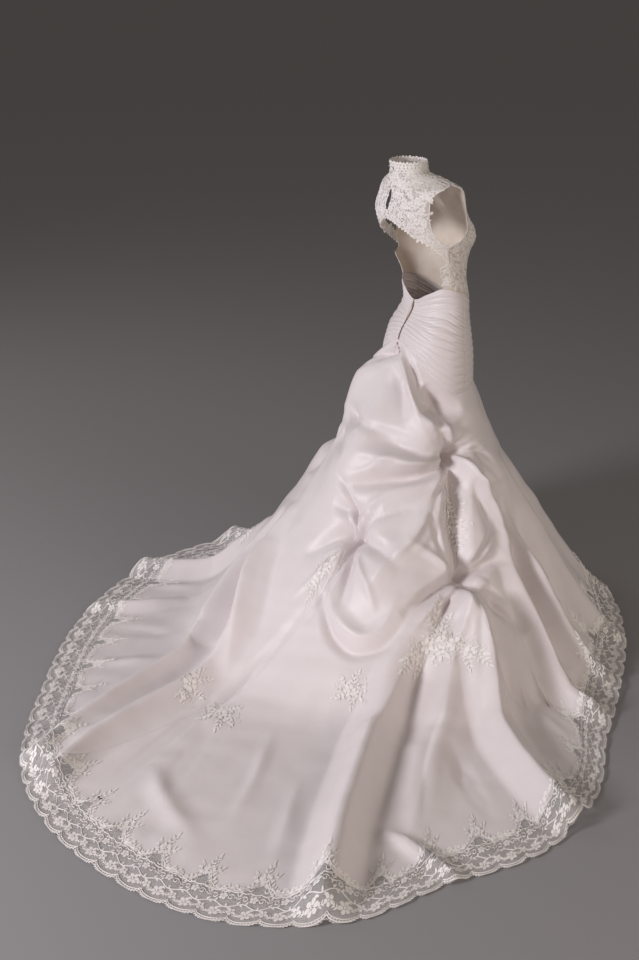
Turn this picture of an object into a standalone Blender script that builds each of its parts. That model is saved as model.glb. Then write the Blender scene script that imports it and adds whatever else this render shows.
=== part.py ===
"""Wedding dress: lace bodice with an open back, ruched hip band, picked-up satin skirt and lace-edged train.

Metres, +Z up. The wearer faces -Y, the train runs back along +Y and swings to the wearer's right, -X.
Bearings are in degrees round the figure: 0 front, 90 left side, 180 back, 270 right side.
The origin lies between the shoulders, where the wearer carries the dress; the floor is HOLD_HEIGHT below it.
"""

import math

import bmesh
import bpy
import numpy as np

HOLD_HEIGHT = 1.450
SHOULDER_BACK = 0.080
CLOTH = 0.0020
LACE = 0.0015
SEAM_GAP = 0.0008
WAIST_GAP = 0.0017
LAY_GAP = 0.0006
FLOOR_GAP = 0.0004
LACE_WIDTH = 0.110
SCALLOP_PITCH = 0.080
SCALLOP_DEPTH = 0.016
GAP_LOW, GAP_HIGH = 0.047, 0.066
THIRDS = (0.0, 0.32, 0.68)
SCALLOP_SHAPE = (1.0, 0.0, 0.0)
SKIRT_ROWS = 19
CONE_LENGTH, TRAIN_WEIGHT = 1.15, 0.50
LANDING_SOFTNESS = 0.030
TOP_SHARE, TOP_DROP = 0.17, 0.74
LOW_SHARE, LOW_DROP = 0.49, 0.33
PLEAT_HEIGHT = 0.004
BAND_PLEATS = 8
BODICE_TURN, BODICE_COLUMNS, SIDE_COLUMNS = 117.0, 18, 12
ZIP_TURN = 0.55
SLIDER_LENGTH = 0.010
BUTTON_RADIUS = 0.0045
BUTTON_GAP = 0.0004
BUTTON_SHARES = (0.20, 0.42, 0.64)
CUP_TURN, CUP_SPREAD, CUP_HEIGHT, CUP_RISE, CUP_DEPTH = 34.0, 22.0, 1.300, 0.055, 0.016

# Body sections: height, half width, half depth, centre back, rise at the sides, squareness, sides forward
TORSO = (
    (0.800, 0.168, 0.122, 0.012, 0.000, 2.2, 0.000),
    (0.900, 0.163, 0.122, 0.016, 0.000, 2.2, 0.000),
    (0.980, 0.150, 0.112, 0.012, 0.000, 2.2, 0.000),
    (1.080, 0.125, 0.083, -0.010, 0.000, 2.1, 0.000),
    (1.150, 0.127, 0.082, 0.004, 0.000, 2.1, 0.000),
    (1.220, 0.136, 0.098, 0.024, 0.000, 2.2, 0.000),
    (1.300, 0.150, 0.118, 0.040, 0.000, 2.3, 0.004),
    (1.370, 0.160, 0.106, 0.074, 0.005, 2.4, 0.028),
    (1.425, 0.158, 0.078, 0.090, 0.020, 2.3, 0.052),
    (1.460, 0.104, 0.064, 0.098, 0.012, 2.1, 0.036),
    (1.485, 0.060, 0.056, 0.104, 0.004, 2.0, 0.004),
    (1.525, 0.056, 0.054, 0.108, 0.000, 2.0, 0.000),
)
# Hip band edges: bearing, height of the lower edge, height of the upper edge
BAND = (
    (0.0, 0.860, 1.060),
    (60.0, 0.830, 1.110),
    (90.0, 0.820, 1.132),
    (117.0, 0.855, 1.142),
    (150.0, 0.930, 1.118),
    (180.0, 0.966, 1.090),
    (210.0, 0.930, 1.118),
    (243.0, 0.855, 1.142),
    (270.0, 0.820, 1.132),
    (300.0, 0.830, 1.110),
)
# Skirt spread: bearing, radius where it lands, radius of the lace edge
SPREAD = (
    (0.0, 0.600, 0.640),
    (40.0, 0.620, 0.655),
    (75.0, 0.640, 0.700),
    (108.0, 0.680, 0.830),
    (133.0, 0.740, 1.020),
    (150.0, 0.780, 1.130),
    (172.0, 0.820, 1.300),
    (193.0, 0.840, 1.570),
    (204.0, 0.840, 1.647),
    (217.0, 0.840, 1.686),
    (229.0, 0.840, 1.609),
    (238.0, 0.820, 1.450),
    (249.0, 0.800, 1.339),
    (259.0, 0.760, 1.173),
    (271.0, 0.720, 0.930),
    (294.0, 0.680, 0.743),
    (317.0, 0.630, 0.672),
)
# Seams of the skirt panels: way down (0 band, 1 floor, 2 hem), bearing of left side, centre back, right side
SEAMS = (
    (0.00, 78.0, 180.0, 282.0),
    (0.10, 92.0, 182.0, 269.0),
    (0.23, 106.0, 184.0, 256.0),
    (0.40, 110.0, 189.0, 252.0),
    (0.54, 112.0, 203.0, 250.5),
    (0.64, 112.0, 203.0, 250.5),
    (0.80, 112.0, 199.0, 252.0),
    (1.00, 112.0, 195.0, 254.0),
    (1.30, 113.0, 193.0, 255.0),
    (2.00, 114.0, 192.0, 256.0),
)
# Full places: bearing, way down, spread in degrees, spread down, rise off the form, sag
POUFS = (
    (157.0, 0.15, 15.0, 0.13, 0.045, 0.000),
    (187.0, 0.36, 15.0, 0.15, 0.050, 0.020),
    (222.0, 0.30, 18.0, 0.07, 0.016, 0.010),
    (219.0, 0.63, 13.0, 0.11, 0.042, 0.022),
    (262.0, 0.47, 8.0, 0.12, 0.020, 0.005),
    (142.0, 0.40, 14.0, 0.16, 0.030, 0.010),
    (100.0, 0.47, 8.0, 0.12, 0.020, 0.005),
    (132.0, 0.66, 13.0, 0.12, 0.030, 0.015),
)
# Tacks that pick the skirt up: bearing, way down, depth, radius
TACKS = (
    (256.0, 0.23, 0.030, 0.040),
    (250.0, 0.62, 0.034, 0.045),
    (204.0, 0.55, 0.040, 0.045),
    (193.0, 1.17, 0.010, 0.030),
    (107.0, 0.23, 0.028, 0.040),
    (112.0, 0.61, 0.030, 0.045),
)
# Folds: rise (minus for a trough), half width, fades in, fades out, path of bearing and way down
FOLDS = (
    (-0.012, 0.026, 0, 1, ((185, 0.03), (168, 0.07), (152, 0.13))),
    (0.016, 0.032, 0, 1, ((201, 0.04), (215, 0.11), (227, 0.19), (241, 0.25))),
    (-0.020, 0.045, 1, 1, ((192, 0.06), (204, 0.14), (214, 0.21))),
    (-0.014, 0.024, 0, 1, ((198, 0.03), (222, 0.05), (249, 0.06), (268, 0.06))),
    (-0.030, 0.050, 1, 1, ((226, 0.05), (245, 0.09), (253, 0.14))),
    (0.018, 0.030, 1, 1, ((227, 0.15), (243, 0.17), (255, 0.16))),
    (-0.018, 0.030, 1, 0, ((194, 0.29), (212, 0.28), (229, 0.27), (250, 0.235))),
    (0.016, 0.032, 1, 0, ((190, 0.35), (208, 0.335), (229, 0.30), (251, 0.25))),
    (-0.032, 0.026, 0, 1, ((256, 0.23), (243, 0.28), (229, 0.33), (214, 0.38), (200, 0.42), (188, 0.45))),
    (-0.036, 0.050, 1, 1, ((143, 0.26), (149, 0.37), (154, 0.50))),
    (-0.016, 0.028, 1, 1, ((158, 0.25), (172, 0.28), (184, 0.29))),
    (-0.016, 0.028, 1, 1, ((156, 0.31), (170, 0.35), (184, 0.38))),
    (-0.016, 0.024, 1, 1, ((190, 0.51), (202, 0.495), (214, 0.47))),
    (-0.026, 0.026, 0, 1, ((205, 0.56), (207, 0.63), (209, 0.73))),
    (-0.016, 0.024, 0, 1, ((207, 0.55), (216, 0.56), (227, 0.59))),
    (-0.016, 0.024, 0, 1, ((202, 0.56), (196, 0.59), (188, 0.66))),
    (0.022, 0.034, 1, 1, ((248, 0.34), (236, 0.44), (228, 0.53), (220, 0.60), (216, 0.68))),
    (-0.042, 0.034, 0, 0, ((255, 0.25), (251, 0.37), (249, 0.46), (249, 0.54), (250, 0.60))),
    (0.026, 0.026, 0, 1, ((258, 0.25), (267, 0.34), (273, 0.44), (276, 0.54), (278, 0.64))),
    (-0.036, 0.036, 1, 1, ((280, 0.24), (284, 0.40), (282, 0.56), (279, 0.70), (281, 0.82))),
    (-0.024, 0.024, 0, 1, ((247, 0.61), (238, 0.65), (228, 0.71))),
    (-0.020, 0.022, 0, 1, ((248, 0.63), (242, 0.69), (238, 0.76))),
    (-0.024, 0.026, 0, 1, ((252, 0.61), (260, 0.585), (270, 0.57))),
    (-0.024, 0.026, 0, 1, ((252, 0.63), (261, 0.70), (269, 0.80))),
    (-0.024, 0.024, 0, 1, ((251, 0.64), (255, 0.72), (256, 0.86), (260, 1.00))),
    (0.034, 0.045, 1, 1, ((160, 0.58), (168, 0.71), (177, 0.80), (184, 0.88), (190, 1.00))),
    (-0.034, 0.040, 1, 1, ((156, 0.62), (165, 0.76), (174, 0.85), (181, 0.93))),
    (0.050, 0.050, 1, 0, ((150, 0.60), (161, 0.80), (170, 0.91), (177, 1.05), (181, 1.35), (189, 1.90))),
    (-0.050, 0.060, 1, 1, ((239, 0.76), (233, 0.90), (231, 1.05))),
    (0.052, 0.060, 1, 0, ((235, 0.74), (229, 0.90), (226, 1.08), (226, 1.40), (227, 1.90))),
    (0.036, 0.070, 1, 1, ((246, 0.72), (240, 0.95), (237, 1.20), (234, 1.70))),
    (0.056, 0.055, 0, 0, ((251, 0.66), (252, 0.80), (251, 1.00), (252, 1.40), (254, 1.90))),
    (0.014, 0.040, 1, 1, ((199, 1.52), (205, 1.62), (213, 1.72))),
    (0.018, 0.026, 1, 0, ((231, 1.55), (236, 1.78), (239, 1.97))),
    (0.032, 0.036, 1, 0, ((273, 0.50), (273, 0.72), (272, 1.00), (273, 1.60))),
    (-0.028, 0.032, 1, 1, ((278, 0.55), (277, 0.75), (278, 0.95))),
    (0.030, 0.036, 1, 0, ((286, 0.36), (285, 0.60), (284, 0.85), (285, 1.20))),
    (-0.030, 0.036, 1, 1, ((292, 0.42), (292, 0.66), (293, 0.92))),
    (0.022, 0.040, 1, 0, ((303, 0.30), (304, 0.60), (305, 1.00))),
    (-0.020, 0.040, 1, 1, ((318, 0.30), (319, 0.60), (320, 1.00))),
    (0.020, 0.045, 1, 0, ((334, 0.34), (335, 0.60), (336, 1.00))),
    (-0.018, 0.040, 1, 1, ((350, 0.36), (350, 0.66), (351, 1.00))),
    (0.020, 0.045, 1, 0, ((6, 0.30), (6, 0.60), (5, 1.00))),
    (-0.020, 0.042, 1, 1, ((24, 0.34), (23, 0.62), (22, 1.00))),
    (0.022, 0.045, 1, 0, ((42, 0.28), (41, 0.60), (40, 1.00))),
    (-0.020, 0.040, 1, 1, ((58, 0.32), (57, 0.62), (57, 1.00))),
    (0.026, 0.042, 1, 0, ((74, 0.30), (73, 0.60), (73, 1.20))),
    (-0.024, 0.036, 1, 1, ((85, 0.34), (84, 0.62), (85, 1.00))),
    (-0.036, 0.034, 0, 0, ((107, 0.25), (110, 0.40), (112, 0.60))),
    (0.024, 0.028, 0, 1, ((105, 0.25), (96, 0.38), (92, 0.54), (91, 0.66))),
    (-0.026, 0.028, 0, 1, ((108, 0.23), (122, 0.31), (138, 0.38), (156, 0.43))),
    (-0.024, 0.026, 0, 1, ((114, 0.61), (124, 0.66), (134, 0.74))),
    (-0.024, 0.026, 0, 1, ((110, 0.61), (102, 0.66), (95, 0.78))),
    (0.044, 0.050, 0, 0, ((112, 0.66), (113, 0.85), (114, 1.10), (114, 1.80))),
    (0.036, 0.050, 1, 0, ((132, 0.70), (134, 0.95), (135, 1.30), (136, 1.90))),
    (0.020, 0.032, 1, 0, ((150, 1.10), (152, 1.50), (152, 1.90))),
)
# Laid-on lace: panel, centre bearing, centre way down, half size in degrees, half size down
MOTIFS = {
    "applique_winged_right": (
        "right",
        ((240.0, 0.73, 3.4, 0.10), (240.0, 0.82, 6.5, 0.045), (234.5, 0.85, 3.0, 0.06), (245.5, 0.87, 3.0, 0.06)),
    ),
    "applique_pleat_right": ("right", ((247.0, 0.42, 3.4, 0.15),)),
    "applique_spray_right": ("right", ((219.0, 0.93, 3.0, 0.09),)),
    "applique_tack_right": ("right", ((198.0, 1.16, 4.0, 0.14),)),
    "applique_tack_left": ("left", ((188.5, 1.16, 3.6, 0.14),)),
    "applique_seam_left": ("left", ((196.0, 0.67, 4.4, 0.10),)),
    "applique_winged_left": (
        "left",
        ((120.0, 0.74, 4.0, 0.10), (124.0, 0.80, 4.5, 0.07), (129.0, 0.86, 4.5, 0.07)),
    ),
}
# Side edge of the front bodice, as bearing from the front: height, bearing
SIDE_EDGE = (
    (1.040, BODICE_TURN),
    (1.207, BODICE_TURN),
    (1.226, 99.95),
    (1.272, 99.95),
    (1.293, 82.0),
    (1.330, 66.0),
    (1.390, 64.0),
    (1.430, 80.0),
    (1.445, 89.99),
    (1.486, 89.99),
)
# Outer edge of the back yoke, as bearing from the back: height, bearing
YOKE_EDGE = (
    (1.235, 80.0),
    (1.281, 80.0),
    (1.302, 68.0),
    (1.340, 59.0),
    (1.385, 55.0),
    (1.412, 52.0),
    (1.432, 66.0),
    (1.445, 90.0),
    (1.486, 90.0),
)
NECK_TOP = 1.486
YOKE_LOW_CENTRE, YOKE_LOW_SIDE = 1.352, 1.238
KEYHOLE_LOW, KEYHOLE_HIGH, KEYHOLE_TURN, YOKE_START = 1.372, 1.440, 2.3, 0.04
COLLAR_TOP = 1.512
SATIN_COLOUR = (0.80, 0.76, 0.72, 1.0)
LACE_COLOUR = (0.83, 0.80, 0.78, 1.0)
METAL_COLOUR = (0.42, 0.33, 0.24, 1.0)
PEARL_COLOUR = (0.88, 0.86, 0.84, 1.0)


def gentle_slopes(keys, values):
    """Slopes at a table's points that let the curve through them swing past none of them."""
    spans = np.diff(keys)
    rates = np.diff(values) / spans
    before, after = rates[:-1], rates[1:]
    heavy = 2 * spans[1:] + spans[:-1]
    light = spans[1:] + 2 * spans[:-1]
    same_way = before * after > 0
    mixed = heavy / np.where(same_way, before, 1) + light / np.where(same_way, after, 1)
    inner = np.where(same_way, (heavy + light) / mixed, 0)
    return np.concatenate(([rates[0]], inner, [rates[-1]]))


def smooth(keys, values, x, period=None):
    """The smooth curve through a table's points, read at x; it closes on itself after a period."""
    keys = np.asarray(keys, float)
    values = np.asarray(values, float)
    x = np.asarray(x, float)
    if period:
        x = np.mod(x - keys[0], period) + keys[0]
        keys = np.concatenate((keys[-2:] - period, keys, keys[:2] + period))
        values = np.concatenate((values[-2:], values, values[:2]))
    slopes = gentle_slopes(keys, values)
    i = np.clip(np.searchsorted(keys, x, "right") - 1, 0, len(keys) - 2)
    span = keys[i + 1] - keys[i]
    s = np.clip((x - keys[i]) / span, 0, 1)
    return (
        (2 * s**3 - 3 * s**2 + 1) * values[i]
        + (s**3 - 2 * s**2 + s) * span * slopes[i]
        + (3 * s**2 - 2 * s**3) * values[i + 1]
        + (s**3 - s**2) * span * slopes[i + 1]
    )


def column(table, k):
    return [row[k] for row in table]


def power(value, exponent):
    return np.sign(value) * np.abs(value) ** exponent


def torso(bearing, height):
    """A point on the figure's form, in the figure's own frame: waist centre over the origin, floor at 0."""
    bearing, height = np.broadcast_arrays(np.asarray(bearing, float), np.asarray(height, float))
    width, depth, centre, rise, square, forward = (
        smooth(column(TORSO, 0), column(TORSO, k), height) for k in range(1, 7)
    )
    turn = np.radians(bearing)
    x = width * power(np.sin(turn), 2 / square)
    y = centre - depth * power(np.cos(turn), 2 / square) - forward * np.sin(turn) ** 2
    z = height + rise * np.sin(turn) ** 2
    for side in (-1, 1):
        off = (np.mod(bearing - side * CUP_TURN + 180, 360) - 180) / CUP_SPREAD
        cup = CUP_DEPTH * np.exp(-off**2 - ((height - CUP_HEIGHT) / CUP_RISE) ** 2)
        x = x + cup * np.sin(turn)
        y = y - cup * np.cos(turn)
    return np.stack((x, y, z), -1)


def band_low(bearing):
    return smooth(column(BAND, 0), column(BAND, 1), bearing, 360)


def band_top(bearing):
    return smooth(column(BAND, 0), column(BAND, 2), bearing, 360)


def skirt_form(bearing, down):
    """The skirt without folds: a flared cone from the hip band to the floor, then flat out to the hem."""
    bearing, down = np.broadcast_arrays(np.asarray(bearing, float), np.asarray(down, float))
    land, hem = (smooth(column(SPREAD, 0), column(SPREAD, k), bearing, 360) for k in (1, 2))
    top = torso(bearing, band_low(bearing) - WAIST_GAP)
    turn = np.radians(bearing)
    way = np.stack((np.sin(turn), -np.cos(turn)), -1)
    t = np.clip(down, 0, 1)
    q = 1 - t
    share = 3 * q * q * t * TOP_SHARE + 3 * q * t * t * LOW_SHARE + t**3
    height = top[..., 2] * (q**3 + 3 * q * q * t * TOP_DROP + 3 * q * t * t * LOW_DROP)
    past = np.maximum(down - 1, 0) * (hem - land)
    reach = (land * share + past)[..., None]
    plan = top[..., :2] * (1 - share)[..., None] + way * reach
    fall = top[..., 2] * LOW_DROP / (land * (1 - LOW_SHARE))
    height = height - fall * past
    soft = LANDING_SOFTNESS * np.clip(down / 0.6, 0, 1)
    height = 0.5 * (height + np.sqrt(height * height + 4 * soft * soft))
    return np.concatenate((plan, height[..., None]), -1)


def facing(surface, bearing, down):
    """Unit normals of a surface of bearing and way down, pointing out of the dress."""
    step_b, step_d = 1.4, 0.016
    across = surface(bearing + step_b, down) - surface(bearing - step_b, down)
    along = surface(bearing, down + step_d) - surface(bearing, np.maximum(down - step_d, 0))
    out = np.cross(along, across)
    return out / np.linalg.norm(out, axis=-1, keepdims=True)


def fold_path(path):
    """A fold's middle line on the form, and how far along it each of its points is."""
    path = np.array(path, float)
    marks = np.arange(len(path))
    fine = np.linspace(0, len(path) - 1, 8 * (len(path) - 1) + 1)
    line = skirt_form(smooth(marks, path[:, 0], fine), smooth(marks, path[:, 1], fine))
    run = np.concatenate(([0], np.cumsum(np.linalg.norm(np.diff(line, axis=0), axis=1))))
    return line, run / run[-1]


def nearest(points, line, along):
    """Distance from each point to a line, and how far along the line that is."""
    best = np.full(len(points), np.inf)
    share = np.zeros(len(points))
    for a, b, s0, s1 in zip(line[:-1], line[1:], along[:-1], along[1:]):
        edge = b - a
        t = np.clip((points - a) @ edge / (edge @ edge), 0, 1)
        gap = np.linalg.norm(points - a - t[:, None] * edge, axis=1)
        near = gap < best
        best = np.where(near, gap, best)
        share = np.where(near, s0 + t * (s1 - s0), share)
    return best, share


def relief(form):
    """How far the folds and tacks lift each point of the form."""
    points = form.reshape(-1, 3)
    lift = np.zeros(len(points))
    for rise, half_width, fade_in, fade_out, path in FOLDS:
        line, along = fold_path(path)
        gap, share = nearest(points, line, along)
        bell = np.clip(1 - (gap / (1.6 * half_width)) ** 2, 0, 1) ** 2
        if fade_in:
            bell = bell * np.clip(share / 0.35, 0, 1) ** 0.8
        if fade_out:
            bell = bell * np.clip((1 - share) / 0.55, 0, 1) ** 0.8
        lift += rise * bell
    for bearing, down, depth, radius in TACKS:
        gap = np.linalg.norm(points - skirt_form(bearing, down), axis=1)
        lift -= depth * np.exp(-((gap / radius) ** 2))
    return lift.reshape(form.shape[:-1])


def skirt(bearing, down):
    """The skirt's outer face, with its full places, folds and tacks."""
    bearing, down = np.broadcast_arrays(np.asarray(bearing, float), np.asarray(down, float))
    form = skirt_form(bearing, down)
    lift = relief(form)
    sag = np.zeros(lift.shape)
    for centre, level, spread_b, spread_d, rise, drop in POUFS:
        off = (np.mod(bearing - centre + 180, 360) - 180) / spread_b
        bell = np.exp(-(off**2) - ((down - level) / spread_d) ** 2)
        lift = lift + rise * bell
        sag = sag + drop * bell
    hold = np.clip(down / 0.06, 0, 1)
    point = form + facing(skirt_form, bearing, down) * (lift * hold)[..., None]
    low = point[..., 2] - sag * hold - CLOTH - FLOOR_GAP
    point[..., 2] = CLOTH + FLOOR_GAP + 0.5 * (low + np.sqrt(low * low + 4 * 0.002**2))
    return point


def length_to_hem(bearing):
    """For each bearing, ways down and the cloth left below each of them, hem last."""
    downs = np.linspace(0, 2, 161)
    form = skirt_form(np.asarray(bearing, float)[:, None], downs[None, :])
    steps = np.linalg.norm(np.diff(form, axis=1), axis=2)
    left = np.concatenate((np.cumsum(steps[:, ::-1], axis=1)[:, ::-1], np.zeros((len(form), 1))), axis=1)
    return downs, left


def down_at(bearing, distance):
    """The way down at a distance up from the hem."""
    downs, left = length_to_hem(bearing)
    return np.array([np.interp(d, row[::-1], downs[::-1]) for d, row in zip(distance, left)])


def seam(down, k):
    return smooth(column(SEAMS, 0), column(SEAMS, k), down)


PANELS = {"front": (3, 1, -360.0, 0.0), "left": (1, 2, 0.0, 0.0), "right": (2, 3, 0.0, 0.0)}


def panel_bearing(panel, share, down):
    """The bearing a share of the way across a panel, between its two seams."""
    first, last, first_shift, last_shift = PANELS[panel]
    start = seam(down, first) + first_shift
    end = seam(down, last) + last_shift
    return start + share * (end - start)


def panel_shares(panel):
    """Shares across a panel that space its columns evenly along the hem, one for each scallop."""
    fine = np.linspace(0, 1, 400)
    hem = skirt_form(panel_bearing(panel, fine, np.full(400, 2.0)), np.full(400, 2.0))
    run = np.concatenate(([0], np.cumsum(np.linalg.norm(np.diff(hem, axis=0), axis=1))))
    count = round(run[-1] / SCALLOP_PITCH)
    return np.interp(np.linspace(0, run[-1], count + 1), run, fine)


def panel_rows(panel, shares):
    """Bearings and ways down of a panel's grid: columns by rows, band to satin edge."""
    ends = panel_bearing(panel, shares, np.full(len(shares), 2.0))
    land, hem = (smooth(column(SPREAD, 0), column(SPREAD, k), ends, 360) for k in (1, 2))
    edge = down_at(ends, np.full(len(shares), LACE_WIDTH))
    train = np.maximum(edge - 1, 0) * (hem - land)
    above = CONE_LENGTH / (CONE_LENGTH + TRAIN_WEIGHT * train)
    steps = np.linspace(0, 1, SKIRT_ROWS + 1)
    downs = np.empty((len(shares), SKIRT_ROWS + 1))
    for i, (knee, last) in enumerate(zip(above, edge)):
        landing = min(1.0, last)
        downs[i] = np.interp(steps, (0, knee, 1), (0, landing, last)) if knee < 1 else steps * last
    bearings = panel_bearing(panel, shares[:, None], downs)
    return bearings, downs


def finish(name, colour, roughness, metallic=0.0):
    material = bpy.data.materials.get(name) or bpy.data.materials.new(name)
    material.use_nodes = True
    shader = material.node_tree.nodes["Principled BSDF"]
    shader.inputs["Base Color"].default_value = colour
    shader.inputs["Roughness"].default_value = roughness
    shader.inputs["Metallic"].default_value = metallic
    return material


def to_row_frame(points):
    return np.asarray(points) - np.array((0.0, SHOULDER_BACK, HOLD_HEIGHT))


def unit(vector):
    return vector / np.maximum(np.linalg.norm(vector, axis=-1, keepdims=True), 1e-9)


def drawn_in(outer, inner, gap):
    """Both faces of a wall with its end columns and rows drawn in by half a seam's gap, in the row's frame."""
    shift = np.zeros(outer.shape)
    shift[0] += unit(outer[1] - outer[0])
    shift[-1] += unit(outer[-2] - outer[-1])
    shift[:, 0] += unit(outer[:, 1] - outer[:, 0])
    shift[:, -1] += unit(outer[:, -2] - outer[:, -1])
    return to_row_frame(outer + shift * gap / 2), to_row_frame(inner + shift * gap / 2)


def wall(name, outer, inner, material, keep=None):
    """A closed wall between two grids of points; cells left out of keep are cut through."""
    columns, rows = outer.shape[:2]
    mesh = bpy.data.meshes.new(name)
    shape = bmesh.new()
    bmesh.ops.create_grid(shape, x_segments=columns - 1, y_segments=rows - 1, size=1)
    place = {}
    for vertex in shape.verts:
        i = round((vertex.co.x + 1) / 2 * (columns - 1))
        j = round((vertex.co.y + 1) / 2 * (rows - 1))
        place[vertex] = (i, j)
    if keep is not None:
        dropped = []
        for face in shape.faces:
            i = min(place[v][0] for v in face.verts)
            j = min(place[v][1] for v in face.verts)
            if not keep[i, j]:
                dropped.append(face)
        bmesh.ops.delete(shape, geom=dropped, context="FACES")
        place = {v: place[v] for v in shape.verts}
    bmesh.ops.triangulate(shape, faces=shape.faces[:], quad_method="FIXED")
    rim = [edge for edge in shape.edges if edge.is_boundary]
    copied = bmesh.ops.duplicate(shape, geom=shape.verts[:] + shape.edges[:] + shape.faces[:])
    twin = copied["vert_map"]
    for vertex, (i, j) in place.items():
        vertex.co = outer[i, j]
        twin[vertex].co = inner[i, j]
    faces = [item for item in copied["geom"] if isinstance(item, bmesh.types.BMFace)]
    bmesh.ops.reverse_faces(shape, faces=faces)
    for edge in rim:
        a, b = sorted(edge.verts, key=lambda vertex: place[vertex])
        shape.faces.new((b, a, twin[a]))
        shape.faces.new((b, twin[a], twin[b]))
    bmesh.ops.recalc_face_normals(shape, faces=shape.faces[:])
    shape.to_mesh(mesh)
    shape.free()
    mesh.shade_smooth()
    mesh.set_sharp_from_angle(angle=math.radians(50))
    mesh.materials.append(material)
    thing = bpy.data.objects.new(name, mesh)
    bpy.context.collection.objects.link(thing)
    return thing


def skirt_panel(panel, name, material):
    bearings, downs = panel_rows(panel, panel_shares(panel))
    outer = skirt(bearings, downs)
    inner = outer - facing(skirt, bearings, downs) * CLOTH
    inner[..., 2] = np.maximum(inner[..., 2], FLOOR_GAP)
    wall(name, *drawn_in(outer, inner, SEAM_GAP), material)


def laid_motif(name, panel, ovals, material):
    """A lace motif made from the panel's own cells, moved out."""
    bearings, downs = panel_rows(panel, panel_shares(panel))
    face = facing(skirt, bearings, downs)
    outer = skirt(bearings, downs)
    mid_b = (bearings[:-1, :-1] + bearings[1:, 1:]) / 2
    mid_d = (downs[:-1, :-1] + downs[1:, 1:]) / 2
    keep = np.zeros(mid_b.shape, bool)
    for bearing, down, half_b, half_d in ovals:
        keep |= ((mid_b - bearing) / half_b) ** 2 + ((mid_d - down) / half_d) ** 2 < 1
    keep[0] = keep[-1] = False
    low = outer + face * LAY_GAP
    wall(name, to_row_frame(low + face * LACE), to_row_frame(low), material, keep)


def lace_hem(panel, name, material):
    """The lace border beyond the satin, made from the satin's columns: scallops outside, a gap in each."""
    shares = panel_shares(panel)
    count = len(shares) - 1
    ends = panel_bearing(panel, shares, np.full(count + 1, 2.0))
    edge = tuple(SCALLOP_DEPTH * part for part in SCALLOP_SHAPE)
    parts = len(THIRDS)
    rows = (edge, (GAP_LOW,) * parts, (GAP_HIGH,) * parts, (LACE_WIDTH - SEAM_GAP,) * parts)
    low = np.empty((parts * count + 1, len(rows), 3))
    face = np.empty((parts * count + 1, len(rows), 3))
    for row, distances in enumerate(rows):
        for phase, part in enumerate(THIRDS):
            down = down_at(ends, np.full(count + 1, distances[phase]))
            bearing = panel_bearing(panel, shares, down)
            points, out = skirt(bearing, down), facing(skirt, bearing, down)
            low[phase:-1:parts, row] = points[:-1] * (1 - part) + points[1:] * part
            face[phase:-1:parts, row] = unit(out[:-1] * (1 - part) + out[1:] * part)
            if phase == 0:
                low[-1, row], face[-1, row] = points[-1], out[-1]
    inner = low - face * LACE
    inner[..., 2] = np.maximum(inner[..., 2], FLOOR_GAP)
    keep = np.ones((parts * count, len(rows) - 1), bool)
    keep[1::parts, 1] = False
    wall(name, *drawn_in(low, inner, SEAM_GAP), material, keep)


def torso_patch(name, corner_b, corner_h, columns, rows, material, raise_by=None, keep=None, thick=CLOTH):
    """A piece of the bodice: bearings and heights given by functions of the shares across and up."""
    s, t = np.meshgrid(np.linspace(0, 1, columns + 1), np.linspace(0, 1, rows + 1), indexing="ij")
    bearing = corner_b(s, t)
    height = corner_h(s, t)
    step_b, step_h = 0.5, 0.004
    across = torso(bearing + step_b, height) - torso(bearing - step_b, height)
    up = torso(bearing, height + step_h) - torso(bearing, height - step_h)
    face = unit(np.cross(across, up))
    base = torso(bearing, height)
    outer = base if raise_by is None else base + face * raise_by(s, t)[..., None]
    inner = base - face * thick
    return wall(name, *drawn_in(outer, inner, SEAM_GAP), material, keep)


def front_bodice(material):
    def height(s, t):
        low = band_top(2 * BODICE_TURN * (s - 0.5))
        return low + (NECK_TOP - low) * t

    def bearing(s, t):
        edge = smooth(column(SIDE_EDGE, 0), column(SIDE_EDGE, 1), height(s, t))
        return (2 * s - 1) * edge

    torso_patch("bodice_front", bearing, height, BODICE_COLUMNS, 16, material)


def back_yoke(name, side, material):
    def lower(s):
        return YOKE_LOW_CENTRE + (YOKE_LOW_SIDE - YOKE_LOW_CENTRE) * s**1.4

    def height(s, t):
        return lower(s) + (NECK_TOP - lower(s)) * t

    def bearing(s, t):
        h = height(s, t)
        edge = smooth(column(YOKE_EDGE, 0), column(YOKE_EDGE, 1), h)
        middle = (KEYHOLE_LOW + KEYHOLE_HIGH) / 2
        half = (KEYHOLE_HIGH - KEYHOLE_LOW) / 2
        gape = KEYHOLE_TURN * np.sqrt(np.clip(1 - ((h - middle) / half) ** 2, 0, 1))
        start = YOKE_START + gape
        return 180 - side * (start + (edge - start) * s)

    keep = np.ones((12, 12), bool)
    for i, j in ((4, 1), (7, 2), (9, 3), (3, 4)):
        keep[i, j] = False
    torso_patch(name, bearing, height, 12, 12, material, keep=keep, thick=LACE)


def collar(material):
    def bearing(s, t):
        return 180.6 + 358.8 * s + 0 * t

    def height(s, t):
        scallop = 0.004 * np.abs(np.sin(s * math.pi * 16))
        return NECK_TOP + (COLLAR_TOP - NECK_TOP + scallop) * t

    torso_patch("collar", bearing, height, 32, 2, material, thick=LACE)


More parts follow.
